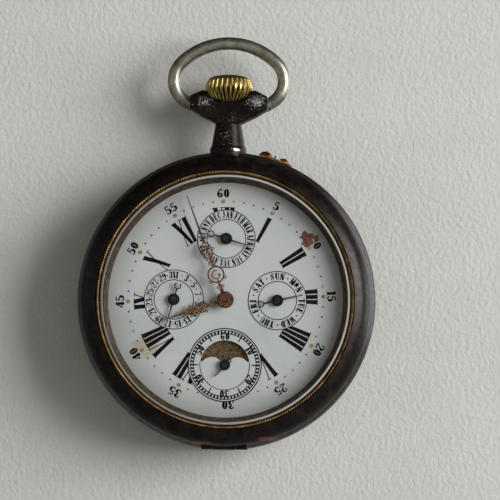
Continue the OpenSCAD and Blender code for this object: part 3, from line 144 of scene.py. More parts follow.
class Print:
    """Collects flat shapes into one thin raised mesh on a level of the dial."""

    def __init__(self, z, t=PRINT_T):
        self.z0, self.z1 = z, z + t
        self.verts, self.faces = [], []

    def shape(self, outer, *holes):
        """An outline with its holes, closed at the front, at the back and along every edge."""
        loops = [outer if area(outer) > 0 else outer[::-1]]
        loops += [h if area(h) < 0 else h[::-1] for h in holes]
        flat = [p for loop in loops for p in loop]
        base = len(self.verts)
        n = len(flat)
        self.verts += [world(p, self.z1) for p in flat] + [world(p, self.z0) for p in flat]
        tris = tessellate_polygon([[Vector((p[0], p[1], 0)) for p in loop] for loop in loops])
        for t in tris:
            a, b, c = [flat[i] for i in t]
            up = (b[0] - a[0]) * (c[1] - a[1]) - (b[1] - a[1]) * (c[0] - a[0]) > 0
            t = t if up else t[::-1]
            self.faces.append([base + i for i in t])
            self.faces.append([base + n + i for i in t[::-1]])
        start = base
        for loop in loops:
            m = len(loop)
            for i in range(m):
                j = (i + 1) % m
                self.faces.append([start + j, start + i, start + n + i, start + n + j])
            start += m

    def dot(self, p, r, sides=16):
        """A filled circle."""
        self.shape(circle(r, p, sides))

    def ring(self, p, r_out, r_in, sides=160):
        """A full round line."""
        self.shape(circle(r_out, p, sides), circle(r_in, p, sides))

    def arc(self, p, r_out, r_in, start, end, steps=60):
        """Part of a round line, between two clock angles."""
        turns = [start + (end - start) * i / steps for i in range(steps + 1)]
        self.shape([clock(r_out, a, p) for a in turns] + [clock(r_in, a, p) for a in turns[::-1]])

    def tick(self, p, r0, r1, degrees, width):
        """A straight line outward from a point, at a clock angle."""
        a = math.radians(degrees)
        side = (width / 2 * math.cos(a), -width / 2 * math.sin(a))
        q0, q1 = clock(r0, degrees, p), clock(r1, degrees, p)
        self.shape([(q0[0] - side[0], q0[1] - side[1]), (q0[0] + side[0], q0[1] + side[1]),
                    (q1[0] + side[0], q1[1] + side[1]), (q1[0] - side[0], q1[1] - side[1])])

    def build(self, name, material):
        """Makes one object of the shapes, which rides the case."""
        obj = new_object(name, self.verts, self.faces)
        obj.data.materials.append(material)
        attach(obj, "case")


# Material helpers

def shader(name):
    """A new node material: (material, its nodes, its links, the Principled shader)."""
    mat = bpy.data.materials.new(name)
    mat.use_nodes = True
    tree = mat.node_tree
    return mat, tree.nodes, tree.links, tree.nodes["Principled BSDF"]


def noise(nd, ln, scale, detail=4, roughness=0.55, distortion=0.0, stretch=(1, 1, 1)):
    """Noise over the object's own metres, with scale in features per metre."""
    coord = nd.new("ShaderNodeTexCoord")
    fit = nd.new("ShaderNodeMapping")
    fit.inputs["Scale"].default_value = stretch
    ln.new(coord.outputs["Object"], fit.inputs["Vector"])
    tex = nd.new("ShaderNodeTexNoise")
    tex.inputs["Scale"].default_value = scale
    tex.inputs["Detail"].default_value = detail
    tex.inputs["Roughness"].default_value = roughness
    tex.inputs["Distortion"].default_value = distortion
    ln.new(fit.outputs["Vector"], tex.inputs["Vector"])
    return tex.outputs["Fac"]


def ramp(nd, ln, value, stops):
    """Colour ramp over a value; stops are (position, (r, g, b))."""
    node = nd.new("ShaderNodeValToRGB")
    elements = node.color_ramp.elements
    while len(elements) < len(stops):
        elements.new(0.5)
    for element, (position, colour) in zip(elements, stops):
        element.position = position
        element.color = (*colour, 1)
    ln.new(value, node.inputs["Fac"])
    return node.outputs["Color"]


def span_of(nd, ln, value, low, high, from_low=0.3, from_high=0.7):
    """Maps a value from one span to another, held at both ends."""
    node = nd.new("ShaderNodeMapRange")
    for key, v in (("From Min", from_low), ("From Max", from_high), ("To Min", low), ("To Max", high)):
        node.inputs[key].default_value = v
    ln.new(value, node.inputs["Value"])
    return node.outputs["Result"]


def maths(nd, ln, operation, a, b=0.0):
    """One arithmetic node; each operand is a socket or a number."""
    node = nd.new("ShaderNodeMath")
    node.operation = operation
    for key, v in ((0, a), (1, b)):
        if hasattr(v, "links"):
            ln.new(v, node.inputs[key])
        else:
            node.inputs[key].default_value = v
    return node.outputs[0]


def mix(nd, ln, factor, a, b, blend="MIX"):
    """Mixes two colours; factor and colours are sockets or plain values."""
    node = nd.new("ShaderNodeMix")
    node.data_type = "RGBA"
    node.blend_type = blend
    for key, v in ((0, factor), (6, a), (7, b)):
        if hasattr(v, "links"):
            ln.new(v, node.inputs[key])
        else:
            node.inputs[key].default_value = v if key == 0 else (*v, 1)
    return node.outputs[2]


def radius(nd, ln, at=CENTRE, scale=(1.0, 1.0)):
    """Distance over the dial from a point, in mm where the scale is one."""
    coord = nd.new("ShaderNodeTexCoord")
    split = nd.new("ShaderNodeSeparateXYZ")
    ln.new(coord.outputs["Object"], split.inputs["Vector"])
    x = maths(nd, ln, "DIVIDE", maths(nd, ln, "SUBTRACT", split.outputs["X"], at[0] * MM), scale[0] * MM)
    y = maths(nd, ln, "DIVIDE", maths(nd, ln, "SUBTRACT", split.outputs["Z"], at[1] * MM), scale[1] * MM)
    total = maths(nd, ln, "ADD", maths(nd, ln, "MULTIPLY", x, x), maths(nd, ln, "MULTIPLY", y, y))
    return maths(nd, ln, "SQRT", total)


def spot(nd, ln, at, scale, ragged, noise_scale):
    """One inside a ragged spot round a point of the dial, falling to zero at its edge."""
    crumbs = maths(nd, ln, "MULTIPLY", noise(nd, ln, noise_scale, 5, 0.65), ragged)
    rough_r = maths(nd, ln, "ADD", radius(nd, ln, at, scale), crumbs)
    return span_of(nd, ln, rough_r, 1.0, 0.0, 0.6 + ragged / 2, 1.0 + ragged / 2)


def bump(nd, ln, bsdf, height, strength, distance):
    """Relief from a height, with its distance in metres."""
    node = nd.new("ShaderNodeBump")
    node.inputs["Strength"].default_value = strength
    node.inputs["Distance"].default_value = distance
    ln.new(height, node.inputs["Height"])
    ln.new(node.outputs["Normal"], bsdf.inputs["Normal"])


GLOSS_FINER = 2.7


def worn(name, stops, scale, rough=(0.25, 0.4), metallic=1.0, detail=6, distortion=0.4,
         grain=(4000, 0.08, 0.00002), specular=0.5):
    """Worn surface: a ramp of colours over noise, uneven gloss and a fine grain.

    Returns the material, its nodes and links, its shader and its colour, for more layers.
    """
    mat, nd, ln, bsdf = shader(name)
    colour = ramp(nd, ln, noise(nd, ln, scale, detail, 0.6, distortion), stops)
    ln.new(colour, bsdf.inputs["Base Color"])
    ln.new(span_of(nd, ln, noise(nd, ln, scale * GLOSS_FINER, 3), *rough), bsdf.inputs["Roughness"])
    bsdf.inputs["Metallic"].default_value = metallic
    bsdf.inputs["Specular IOR Level"].default_value = specular
    bump(nd, ln, bsdf, noise(nd, ln, grain[0], 3), grain[1], grain[2])
    return mat, nd, ln, bsdf, colour


def metal(*args, **kwargs):
    """A worn surface that needs no more layers."""
    return worn(*args, **kwargs)[0]


# Materials

BLACK_STOPS = [(0.30, (0.003, 0.0025, 0.0022)), (0.48, (0.007, 0.005, 0.0042)),
               (0.62, (0.016, 0.010, 0.0078)), (0.78, (0.040, 0.022, 0.015))]
WEAR_AT = ((-5.0, -31.5), (9.6, -30.4))
WEAR_SIZE = (2.7, 0.55)
WEAR_COLOUR = (0.15, 0.045, 0.022)


def case_material():
    """Blackened steel, brownish where it is handled, with two reddish worn wedges at the foot."""
    mat, nd, ln, bsdf, colour = worn("gunmetal", BLACK_STOPS, 420, (0.24, 0.40), 0.35, 8, 0.6,
                                     (2600, 0.12, 0.00003), 0.22)
    for at in WEAR_AT:
        colour = mix(nd, ln, spot(nd, ln, at, WEAR_SIZE, 0.5, 700), colour, WEAR_COLOUR)
    ln.new(colour, bsdf.inputs["Base Color"])
    return mat


# Rubbed places of the pendant, the ones at the collar and on the right ear partly painted highlights:
# (centre, half size, strength)
WEAR_AND_HIGHLIGHT_SPOTS = (((6.4, 44.2), (2.9, 2.3), 0.85), ((-5.3, 44.1), (3.0, 2.2), 0.62),
            ((0.6, 40.2), (3.5, 1.4), 0.45), ((1.9, 33.4), (1.6, 0.55), 0.8),
            ((-0.6, 36.2), (2.4, 3.4), 0.42))
WEAR_AND_HIGHLIGHT_SHARE = 0.26
SILVER = (0.60, 0.60, 0.61)


def pendant_material():
    """Black with silvery worn patches where the bow and the fingers wear it; the patches at the collar and
    on the right ear are partly painted highlights.
    """
    mat, nd, ln, bsdf, colour = worn("pendant_black", BLACK_STOPS, 600, (0.26, 0.42), 0.5, 8, 0.6,
                                     (2400, 0.3, 0.00006), 0.16)
    wear_and_highlight = None
    # Wear and painted highlights: silvery spots, those at the collar and on the right ear partly painted
    # highlights
    for at, size, strength in WEAR_AND_HIGHLIGHT_SPOTS:
        near = span_of(nd, ln, radius(nd, ln, at, size), strength, 0.0, 0.25, 1.25)
        wear_and_highlight = near if wear_and_highlight is None else maths(nd, ln, "MAXIMUM", wear_and_highlight, near)
    crumbs = noise(nd, ln, 2300, 9, 0.74, 0.5)
    wear_and_highlight_crumbs = maths(nd, ln, "ADD", crumbs, maths(nd, ln, "MULTIPLY", wear_and_highlight, WEAR_AND_HIGHLIGHT_SHARE))
    bare_and_highlit = span_of(nd, ln, wear_and_highlight_crumbs, 0.0, 1.0, 0.66, 0.76)
    ln.new(mix(nd, ln, bare_and_highlit, colour, SILVER), bsdf.inputs["Base Color"])
    ln.new(span_of(nd, ln, bare_and_highlit, 0.45, 0.95, 0.0, 1.0), bsdf.inputs["Metallic"])
    return mat


GOLD_STOPS = [(0.30, (0.26, 0.17, 0.045)), (0.48, (0.50, 0.37, 0.11)), (0.70, (0.66, 0.52, 0.19))]
# Dark colour for the deposits in the flutes and for the painted shade of the top edge
DIRT_AND_SHADE_COLOUR = (0.018, 0.009, 0.004)
FLUTES = 28
# Depths below the crown's top between which the old deposits in the flutes and the painted shade of the top
# edge begin and end
FLUTE_DIRT = (3.2, 2.4)
RIM_SHADE_DEPTHS = (1.1, 0.3)


def crown_material():
    """Gilt, with old deposits down in the flutes of the lower half, and painted shade darkening its top
    edge, which is also dulled.
    """
    mat, nd, ln, bsdf, colour = worn("crown_gilt", GOLD_STOPS, 900, (0.24, 0.40))
    lo, hi = span("crown")
    coord = nd.new("ShaderNodeTexCoord")
    split = nd.new("ShaderNodeSeparateXYZ")
    ln.new(coord.outputs["Object"], split.inputs["Vector"])
    depth = maths(nd, ln, "SUBTRACT", split.outputs["Y"], (lo[1] + hi[1]) / 2 * MM)
    turn = maths(nd, ln, "ARCTAN2", depth, split.outputs["X"])
    wave = maths(nd, ln, "COSINE", maths(nd, ln, "MULTIPLY", turn, FLUTES))
    groove = span_of(nd, ln, wave, 0.0, 1.0, -0.15, 0.45)
    height = split.outputs["Z"]
    low = span_of(nd, ln, height, 1.0, 0.22, *[(hi[2] - below) * MM for below in FLUTE_DIRT])
    # Painted shade darkening the crown's top edge; the same mask also raises its roughness
    rim = span_of(nd, ln, height, 0.0, 0.7, *[(hi[2] - below) * MM for below in RIM_SHADE_DEPTHS])
    dirt_and_rim_shade = maths(nd, ln, "MAXIMUM", maths(nd, ln, "MULTIPLY", groove, low), rim)
    ln.new(mix(nd, ln, dirt_and_rim_shade, colour, DIRT_AND_SHADE_COLOUR), bsdf.inputs["Base Color"])
    gloss = bsdf.inputs["Roughness"].links[0].from_socket
    ln.new(maths(nd, ln, "MAXIMUM", gloss, rim), bsdf.inputs["Roughness"])
    return mat


def hub_material(name, stops, scale, at, rings, **kwargs):
    """Metal of a hand whose round hub is turned, with painted rings; rings are (radius, shade): the dark
    ones painted groove shade, the bright ones painted highlights.
    """
    mat, nd, ln, bsdf, colour = worn(name, stops, scale, **kwargs)
    last = rings[-1][0]
    # Painted groove shade and painted highlight rings over the hub
    groove_shade_and_highlight_rings = ramp(nd, ln, maths(nd, ln, "DIVIDE", radius(nd, ln, at), last), [
        (r / last, (shade, shade, shade)) for r, shade in rings])
    ln.new(mix(nd, ln, 1.0, colour, groove_shade_and_highlight_rings, "MULTIPLY"), bsdf.inputs["Base Color"])
    return mat, nd, ln, bsdf


COPPER_STOPS = [(0.34, (0.050, 0.020, 0.010)), (0.5, (0.19, 0.088, 0.046)),
                (0.66, (0.40, 0.215, 0.115))]
OLD_COPPER = (0.030, 0.014, 0.008)
NEEDLE_R = (11.0, 17.0)
# Painted groove shade on the centre hub: (radius, shade), dark where a ring dips
CENTRE_RINGS = ((0.0, 1.0), (0.40, 1.0), (0.50, 0.25), (0.62, 0.9), (0.98, 1.0), (1.08, 0.2), (1.2, 0.75),
                (1.5, 0.95), (1.62, 0.3), (1.78, 0.8), (1.9, 1.0))
BLACK_METAL = [(0.3, (0.004, 0.004, 0.005)), (0.6, (0.010, 0.009, 0.010)), (0.8, (0.035, 0.028, 0.026))]
# Painted groove shade and a painted bright highlight ring on the small hubs: (radius, shade)
SMALL_RINGS = ((0.0, 0.9), (0.2, 1.0), (0.3, 5.0), (0.5, 6.0), (0.62, 0.8), (0.9, 1.0), (0.98, 2.6),
               (1.08, 0.8), (1.25, 1.0), (1.4, 1.0))


def fancy_hand_material():
    """Gilt copper that has gone brown, nearly black along the needles."""
    mat, nd, ln, bsdf = hub_material("copper_gilt", COPPER_STOPS, 1100, CENTRE, CENTRE_RINGS,
                                     rough=(0.28, 0.42), metallic=0.8, grain=(3500, 0.3, 0.00005))
    toward_tip = span_of(nd, ln, radius(nd, ln), 0.0, 0.85, *NEEDLE_R)
    old = bsdf.inputs["Base Color"].links[0].from_socket
    ln.new(mix(nd, ln, toward_tip, old, OLD_COPPER), bsdf.inputs["Base Color"])
    return mat


MATERIALS = {
    "gunmetal": case_material(),
    "gilt": metal("gilt", GOLD_STOPS, 700, (0.22, 0.42)),
    "tarnished_brass": metal("tarnished_brass", [(0.3, (0.024, 0.014, 0.007)), (0.5, (0.064, 0.040, 0.022)),
                                                 (0.7, (0.14, 0.095, 0.060))], 800, (0.34, 0.5), 0.5),
    "nickel_silver": metal("nickel_silver", [(0.3, (0.15, 0.14, 0.108)), (0.5, (0.29, 0.278, 0.228)),
                                             (0.7, (0.43, 0.42, 0.36))], 500, (0.26, 0.42), 0.9),
    "copper_gilt": fancy_hand_material(),
    "blued_steel": metal("blued_steel", BLACK_METAL, 900, (0.25, 0.4), 0.6),
    "steel": metal("steel", [(0.3, (0.36, 0.36, 0.37)), (0.7, (0.55, 0.55, 0.56))],
                   600, (0.18, 0.32)),
    "gilt_brass": metal("gilt_brass", [(0.3, (0.55, 0.40, 0.16)), (0.7, (0.74, 0.58, 0.28))],
                        500, (0.3, 0.45)),
    "ruby": metal("ruby", [(0.3, (0.35, 0.01, 0.05)), (0.7, (0.55, 0.02, 0.09))],
                  900, (0.05, 0.12), 0.0),
}

ROPE_GILT = metal("rope_gilt", [(0.30, (0.06, 0.028, 0.008)), (0.48, (0.16, 0.088, 0.028)),
                                (0.70, (0.33, 0.21, 0.075))], 500, (0.30, 0.45), 0.9)
BEAD_GILT = metal("bead_gilt", [(0.30, (0.05, 0.022, 0.006)), (0.48, (0.20, 0.105, 0.028)),
                                (0.70, (0.38, 0.25, 0.09))], 700, (0.25, 0.4), 0.9)
MOON_BRASS = metal("moon_brass", [(0.36, (0.045, 0.026, 0.011)), (0.5, (0.115, 0.072, 0.032)),
                                  (0.64, (0.21, 0.14, 0.068))], 1500, (0.4, 0.55), 0.5, 7, 0.2)
HINGE_BLACK = metal("hinge_black", BLACK_STOPS, 900, (0.35, 0.5), 0.5)

TARNISH_AT = clock(20.4, 239)
TARNISH_SIZE = (3.6, 3.0)
ENAMEL_STOPS = [(0.3, (0.445, 0.468, 0.468)), (0.5, (0.500, 0.520, 0.515)), (0.7, (0.525, 0.538, 0.522))]
PIT_COLOUR = (0.30, 0.27, 0.22)
# Painted shade: colour and radii in mm of the darkening of the dial towards its edge, under the bezel
RIM_SHADE_COLOUR = (0.16, 0.15, 0.125)
RIM_SHADE_R = (20.5, 27.0)
STAIN_COLOUR = (0.33, 0.27, 0.14)


def enamel_material(name, rim_shade_and_stain):
    """White enamel with faint clouding and dark pits; the one for the dial itself has painted shade
    darkening it towards its edge, and a stain.
    """
    mat, nd, ln, bsdf = shader(name)
    colour = ramp(nd, ln, noise(nd, ln, 90, 5, 0.6), ENAMEL_STOPS)
    pits = ramp(nd, ln, noise(nd, ln, 1300, 2, 0.4), [(0.215, (1, 1, 1)), (0.24, (0, 0, 0))])
    colour = mix(nd, ln, pits, colour, PIT_COLOUR)
    if rim_shade_and_stain:
        # Painted shade, darkening the enamel towards its edge
        grime = span_of(nd, ln, radius(nd, ln), 0.0, 0.60, *RIM_SHADE_R)
        colour = mix(nd, ln, grime, colour, RIM_SHADE_COLOUR)
        yellow = spot(nd, ln, TARNISH_AT, TARNISH_SIZE, 1.0, 500)
        colour = mix(nd, ln, maths(nd, ln, "MULTIPLY", yellow, 0.55), colour, STAIN_COLOUR)
    ln.new(colour, bsdf.inputs["Base Color"])
    bsdf.inputs["Roughness"].default_value = 0.16
    bsdf.inputs["Specular IOR Level"].default_value = 0.3
    bump(nd, ln, bsdf, noise(nd, ln, 220, 2), 0.03, 0.0001)
    return mat


def ink_material(name, colour, faded):
    """Matt printed ink, a little faded in places."""
    mat, nd, ln, bsdf = shader(name)
    ln.new(ramp(nd, ln, noise(nd, ln, 1400, 4), [(0.45, colour), (0.8, faded)]), bsdf.inputs["Base Color"])
    bsdf.inputs["Roughness"].default_value = 0.6
    bsdf.inputs["Specular IOR Level"].default_value = 0.05
    return mat


# Radii in mm of the glass's rings; the white ones make a painted highlight round the edge
GLASS_CLEAR_R = 26.8
GLASS_WHITE_R = 27.1
GLASS_EDGE_HIGHLIGHT_R = 27.35
GLASS_DARK_R = 27.46
GLASS_COVER_R = 27.5
GLASS_LAST_R = 27.6


def glass_material():
    """Clear watch glass with a painted white highlight round its edge, and dark just outside it."""
    mat, nd, ln, bsdf = shader("watch_glass")
    share = maths(nd, ln, "DIVIDE", radius(nd, ln), GLASS_LAST_R)
    # Painted highlight: a white ring round the edge of the glass, dark just outside it
    tone = ramp(nd, ln, share, [
        (0.0, (0.004, 0.004, 0.004)), (GLASS_CLEAR_R / GLASS_LAST_R, (0.01, 0.01, 0.01)),
        (GLASS_WHITE_R / GLASS_LAST_R, (0.50, 0.485, 0.45)),
        (GLASS_EDGE_HIGHLIGHT_R / GLASS_LAST_R, (0.56, 0.54, 0.50)),
        (GLASS_DARK_R / GLASS_LAST_R, (0.03, 0.025, 0.02))])
    cover = ramp(nd, ln, share, [
        (0.0, (0.03, 0.03, 0.03)), (GLASS_CLEAR_R / GLASS_LAST_R, (0.05, 0.05, 0.05)),
        (GLASS_WHITE_R / GLASS_LAST_R, (0.8, 0.8, 0.8)), (GLASS_COVER_R / GLASS_LAST_R, (0.9, 0.9, 0.9))])
    ln.new(tone, bsdf.inputs["Base Color"])
    ln.new(cover, bsdf.inputs["Alpha"])
    bsdf.inputs["Roughness"].default_value = 0.08
    return mat


MATERIALS["enamel"] = enamel_material("enamel", rim_shade_and_stain=True)
MATERIALS["watch_glass"] = glass_material()
HOUR_GILT = [(0.34, (0.035, 0.018, 0.008)), (0.5, (0.19, 0.105, 0.045)), (0.66, (0.50, 0.33, 0.15))]
OWN = {
    "hour_hand": metal("hour_gilt", HOUR_GILT, 1900, (0.26, 0.4), 0.8, 6, 0.4, (3500, 0.3, 0.00005)),
    "pendant": pendant_material(),
    "crown": crown_material(),
    "pin_guard": BEAD_GILT,
    "moon_disc": MOON_BRASS,
    "hinge_pins": HINGE_BLACK,
}
for hand, at in (("date_hand", DATE_AT), ("day_hand", DAY_AT), ("month_hand", MONTH_AT),
                 ("seconds_hand", SECONDS_AT)):
    OWN[hand] = hub_material(hand + "_steel", BLACK_METAL, 900, at, SMALL_RINGS, rough=(0.25, 0.4),
                             metallic=0.6)[0]
SLOTS = {s["node"]: s["material_slot"] for s in frame["record"]["subparts"]}
for node, obj in nodes.items():
    obj.data.materials.clear()
    obj.data.materials.append(OWN.get(node, MATERIALS[SLOTS[node]]))


# Rope-milled ring inside the bezel

ROPE_LAYS = 300
ROPE_W = 0.8
ROPE_DEPTH = 0.10
ROPE_SLANT = 2.2
ROPE_STEPS_PER_LAY = 6
ROPE_ARC_STEPS = 10


def rope_ring():
    """The gilt ring with slanting milled grooves, on the same seat as its plain solid."""
    lo, hi = span("bezel_ring")
    mid_r = hi[0] - ROPE_W / 2
    back, front = -hi[1], -lo[1]
    crest = front - ROPE_W / 2
    steps = ROPE_LAYS * ROPE_STEPS_PER_LAY
    verts, faces = [], []
    for i in range(steps):
        degrees = 360 * i / steps
        section = [(mid_r + ROPE_W / 2, back), (mid_r - ROPE_W / 2, back)]
        for j in range(ROPE_ARC_STEPS + 1):
            a = math.pi * (1 - j / ROPE_ARC_STEPS)
            cut = ROPE_DEPTH * (0.5 - 0.5 * math.cos(math.radians(ROPE_LAYS * degrees) + ROPE_SLANT * a))
            r = ROPE_W / 2 - cut
            section.append((mid_r + r * math.cos(a), crest + r * math.sin(a)))
        verts += [world(clock(r, degrees), z) for r, z in section]
    m = ROPE_ARC_STEPS + 3
    for i in range(steps):
        k = (i + 1) % steps
        for j in range(m):
            n = (j + 1) % m
            faces.append([i * m + j, i * m + n, k * m + n, k * m + j])
    obj = new_object("milled_ring", verts, faces, smooth=True)
    obj.data.materials.append(ROPE_GILT)
    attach(obj, body_of(nodes["bezel_ring"])[0])
    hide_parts("bezel_ring")


rope_ring()


# Main print of the dial

INK = ink_material("black_ink", (0.004, 0.004, 0.005), (0.016, 0.016, 0.018))
GOLD_DOTS = metal("gold_dots", [(0.35, (0.20, 0.15, 0.04)), (0.6, (0.46, 0.37, 0.15))], 1500,
                  (0.3, 0.45), 0.6)
DULL_DOTS = metal("dull_dots", [(0.35, (0.06, 0.050, 0.024)), (0.6, (0.22, 0.18, 0.080))], 1500,
                  (0.4, 0.5), 0.4)

PRINT_GAP = 0.002
LEVEL_NUMERALS = DIAL_Z + PRINT_GAP
LEVEL_SUBDIAL = LEVEL_NUMERALS + PRINT_T + PRINT_GAP
LEVEL_TOP = LEVEL_SUBDIAL + PRINT_T + PRINT_GAP

NUMERAL_OUT = 20.25
NUMERAL_IN = 14.3
STROKE = 0.84
HAIR = 0.2
SERIF = 0.16
SERIF_REACH = 0.14
SERIF_LEAST = 0.4
PITCH = 1.03


def bent(points, degrees, steps=4):
    """Maps (u across in mm, v radius in mm) onto the dial round a clock angle, following the arc."""
    middle_r = (NUMERAL_OUT + NUMERAL_IN) / 2
    out = []
    for (u0, v0), (u1, v1) in zip(points, points[1:] + points[:1]):
        for i in range(steps):
            u, v = u0 + (u1 - u0) * i / steps, v0 + (v1 - v0) * i / steps
            out.append(on_print(v, degrees + math.degrees(u / middle_r)))
    return out


def glyph_strokes(glyph):
    """(advance, [slanted strokes as (u at the foot, u at the top, width)])."""
    if glyph == "I":
        return PITCH, [(PITCH / 2, PITCH / 2, STROKE)]
    if glyph == "V":
        return 2.2, [(1.0, 0.45, STROKE), (1.22, 1.95, HAIR)]
    return 2.3, [(1.8, 0.5, STROKE), (0.4, 1.9, HAIR)]


def roman(layer, text, degrees):
    """A numeral with its tops outward, centred on a clock angle."""
    width = sum(glyph_strokes(g)[0] for g in text)
    u = -width / 2
    for g in text:
        advance, strokes = glyph_strokes(g)
        for foot, top, w in strokes:
            layer.shape(bent([(u + foot - w / 2, NUMERAL_IN), (u + foot + w / 2, NUMERAL_IN),
                              (u + top + w / 2, NUMERAL_OUT), (u + top - w / 2, NUMERAL_OUT)], degrees))
            half = max(w / 2 + SERIF_REACH, SERIF_LEAST)
            for v, c in ((NUMERAL_IN, u + foot), (NUMERAL_OUT - SERIF, u + top)):
                serif = [(c - half, v), (c + half, v), (c + half, v + SERIF), (c - half, v + SERIF)]
                layer.shape(bent(serif, degrees))
        u += advance


# The numeral at six lies under the seconds sub-dial, and so do the dots beside it
HOURS = {0: "XII", 1: "I", 2: "II", 3: "III", 4: "IIII", 5: "V", 7: "VII", 8: "VIII", 9: "IX", 10: "X",
         11: "XI"}
HIDDEN_DOTS = range(28, 33)
numerals = Print(LEVEL_NUMERALS)
for hour, text in HOURS.items():
    roman(numerals, text, 30 * hour)
numerals.build("hour_numerals", INK)

DOT_RING_R = 21.5
GOLD_DOT_R, GOLD_DOT_T = 0.46, 0.05
DULL_DOT_R, DULL_DOT_T = 0.21, 0.04
gold_dots = Print(LEVEL_NUMERALS, GOLD_DOT_T)
dull_dots = Print(LEVEL_NUMERALS, DULL_DOT_T)
for minute in range(60):
    if minute in HIDDEN_DOTS:
        continue
    if minute % 5:
        dull_dots.dot(on_print(DOT_RING_R, 6 * minute), DULL_DOT_R)
    else:
        gold_dots.dot(on_print(DOT_RING_R, 6 * minute), GOLD_DOT_R)
gold_dots.build("five_minute_dots", GOLD_DOTS)
dull_dots.build("minute_dots", DULL_DOTS)


# Figures and capitals with strong and fine strokes, drawn one unit high and centred across

def smooth(points, steps=5):
    """Smooth curve through points with any number of coordinates."""
    if len(points) == 2:
        return [tuple(p) for p in points]
    padded = [points[0]] + list(points) + [points[-1]]
    out = []
    for p0, p1, p2, p3 in zip(padded, padded[1:], padded[2:], padded[3:]):
        for i in range(steps):
            t = i / steps
            out.append(tuple(0.5 * (2 * b + (c - a) * t + (2 * a - 5 * b + 4 * c - d) * t * t
                                    + (3 * b - a - 3 * c + d) * t ** 3)
                             for a, b, c, d in zip(p0, p1, p2, p3)))
    return out + [tuple(points[-1])]


def ribbon(*points):
    """Outline of a pen stroke through (x, y, width) points."""
    path = smooth(points)
    left, right = [], []
    for i, (x, y, w) in enumerate(path):
        a, b = path[max(i - 1, 0)], path[min(i + 1, len(path) - 1)]
        d = math.hypot(b[0] - a[0], b[1] - a[1]) or 1
        nx, ny = -(b[1] - a[1]) / d * w / 2, (b[0] - a[0]) / d * w / 2
        left.append((x + nx, y + ny))
        right.append((x - nx, y - ny))
    return [left + right[::-1]]


def oval(x, y, a, b, thick, thin):
    """A ring that is thick at its sides and thin at its top and bottom."""
    turn = [2 * math.pi * i / 24 for i in range(24)]
    return [[(x + a * math.cos(t), y + b * math.sin(t)) for t in turn],
            [(x + (a - thick) * math.cos(t), y + (b - thin) * math.sin(t)) for t in turn]]


def blob(x, y, r=0.085):
    """A round end of a fine stroke."""
    return [[(x + r * math.cos(math.pi * i / 5), y + r * math.sin(math.pi * i / 5)) for i in range(10)]]


# Widths of the strong and fine strokes of figures
THICK, THIN = 0.28, 0.12


def figure(ch):
    """Shapes of one figure, each a list of an outline and its holes; nine is six turned over."""
    if ch == "0":
        return [oval(0, 0.5, 0.30, 0.5, THICK, THIN)]
    if ch == "1":
        return [ribbon((0.02, 0, THICK), (0.02, 1, THICK)), ribbon((-0.2, 0.8, THIN), (0.0, 0.97, THIN)),
                ribbon((-0.16, 0.03, THIN), (0.2, 0.03, THIN))]
    if ch == "2":
        return [ribbon((-0.22, 0.76, THIN), (-0.1, 0.95, THIN), (0.08, 0.96, THIN), (0.2, 0.76, THICK),
                       (0.08, 0.48, 0.14), (-0.16, 0.2, THIN), (-0.27, 0.03, THIN)),
                ribbon((-0.25, 0.06, THIN), (-0.05, 0.09, 0.14), (0.15, 0.05, 0.12), (0.28, 0.24, THIN)),
                blob(-0.18, 0.74)]
    if ch == "3":
        return [ribbon((-0.21, 0.82, THIN), (-0.04, 0.975, THIN), (0.16, 0.78, THICK), (-0.04, 0.55, THIN)),
                ribbon((-0.04, 0.55, THIN), (0.2, 0.29, THICK), (-0.02, 0.025, THIN), (-0.24, 0.16, THIN)),
                blob(-0.18, 0.79), blob(-0.2, 0.2)]
    if ch == "4":
        return [ribbon((0.12, 0, THICK), (0.12, 1, THICK)), ribbon((0.12, 0.98, THIN), (-0.3, 0.28, THIN)),
                ribbon((-0.31, 0.28, THIN), (0.32, 0.28, THIN))]
    if ch == "5":
        return [ribbon((-0.16, 0.93, 0.13), (0.2, 0.93, 0.13)),
                ribbon((-0.17, 0.98, THIN), (-0.19, 0.5, THIN)),
                ribbon((-0.19, 0.5, THIN), (0.0, 0.62, THIN), (0.2, 0.32, THICK), (-0.02, 0.025, THIN),
                       (-0.23, 0.14, THIN)), blob(-0.19, 0.18)]
    if ch == "6":
        return [ribbon((0.2, 0.9, THIN), (0.04, 0.975, THIN), (-0.18, 0.66, 0.17), (-0.2, 0.34, THICK)),
                oval(0, 0.3, 0.28, 0.3, THICK * 0.85, THIN), blob(0.17, 0.84)]
    if ch == "7":
        return [ribbon((-0.26, 0.92, 0.12), (0.26, 0.94, 0.12)),
                ribbon((0.26, 0.92, THIN), (0.05, 0.5, 0.12), (-0.02, 0.03, THICK))]
    if ch == "8":
        return [oval(0, 0.75, 0.22, 0.25, 0.13, THIN), oval(0, 0.27, 0.27, 0.28, THICK * 0.85, THIN)]
    return [[[(-x, 1 - y) for x, y in loop] for loop in shape] for shape in figure("6")]


# Widths of the strong and fine strokes of capitals, and the heights of their serifs
W, T = 0.32, 0.12
FOOT, HEAD = 0.035, 0.965


def upright(x, low=0.0, high=1.0, width=W):
    """A strong stroke straight up."""
    return ribbon((x, low, width), (x, high, width))


def level(x0, x1, y, width=T):
    """A fine stroke straight across."""
    return ribbon((x0, y, width), (x1, y, width))


def stems(*places, reach=0.17):
    """Fine serifs at the foot and head of each upright."""
    return [level(x - reach, x + reach, y) for x in places for y in (FOOT, HEAD)]


UPPER_BOWL = ribbon((-0.15, HEAD, T), (0.08, HEAD, T), (0.23, 0.74, W * 0.9), (0.08, 0.52, T),
                    (-0.15, 0.52, T))
LOWER_BOWL = ribbon((-0.15, 0.52, T), (0.1, 0.52, T), (0.26, 0.28, W), (0.1, FOOT, T), (-0.15, FOOT, T))
ROUND_BACK = ribbon((0.23, 0.68, T), (0.17, 0.9, T), (0.02, HEAD, T), (-0.20, 0.5, W), (0.02, FOOT, T),
                    (0.18, 0.12, T), (0.25, 0.32, T))


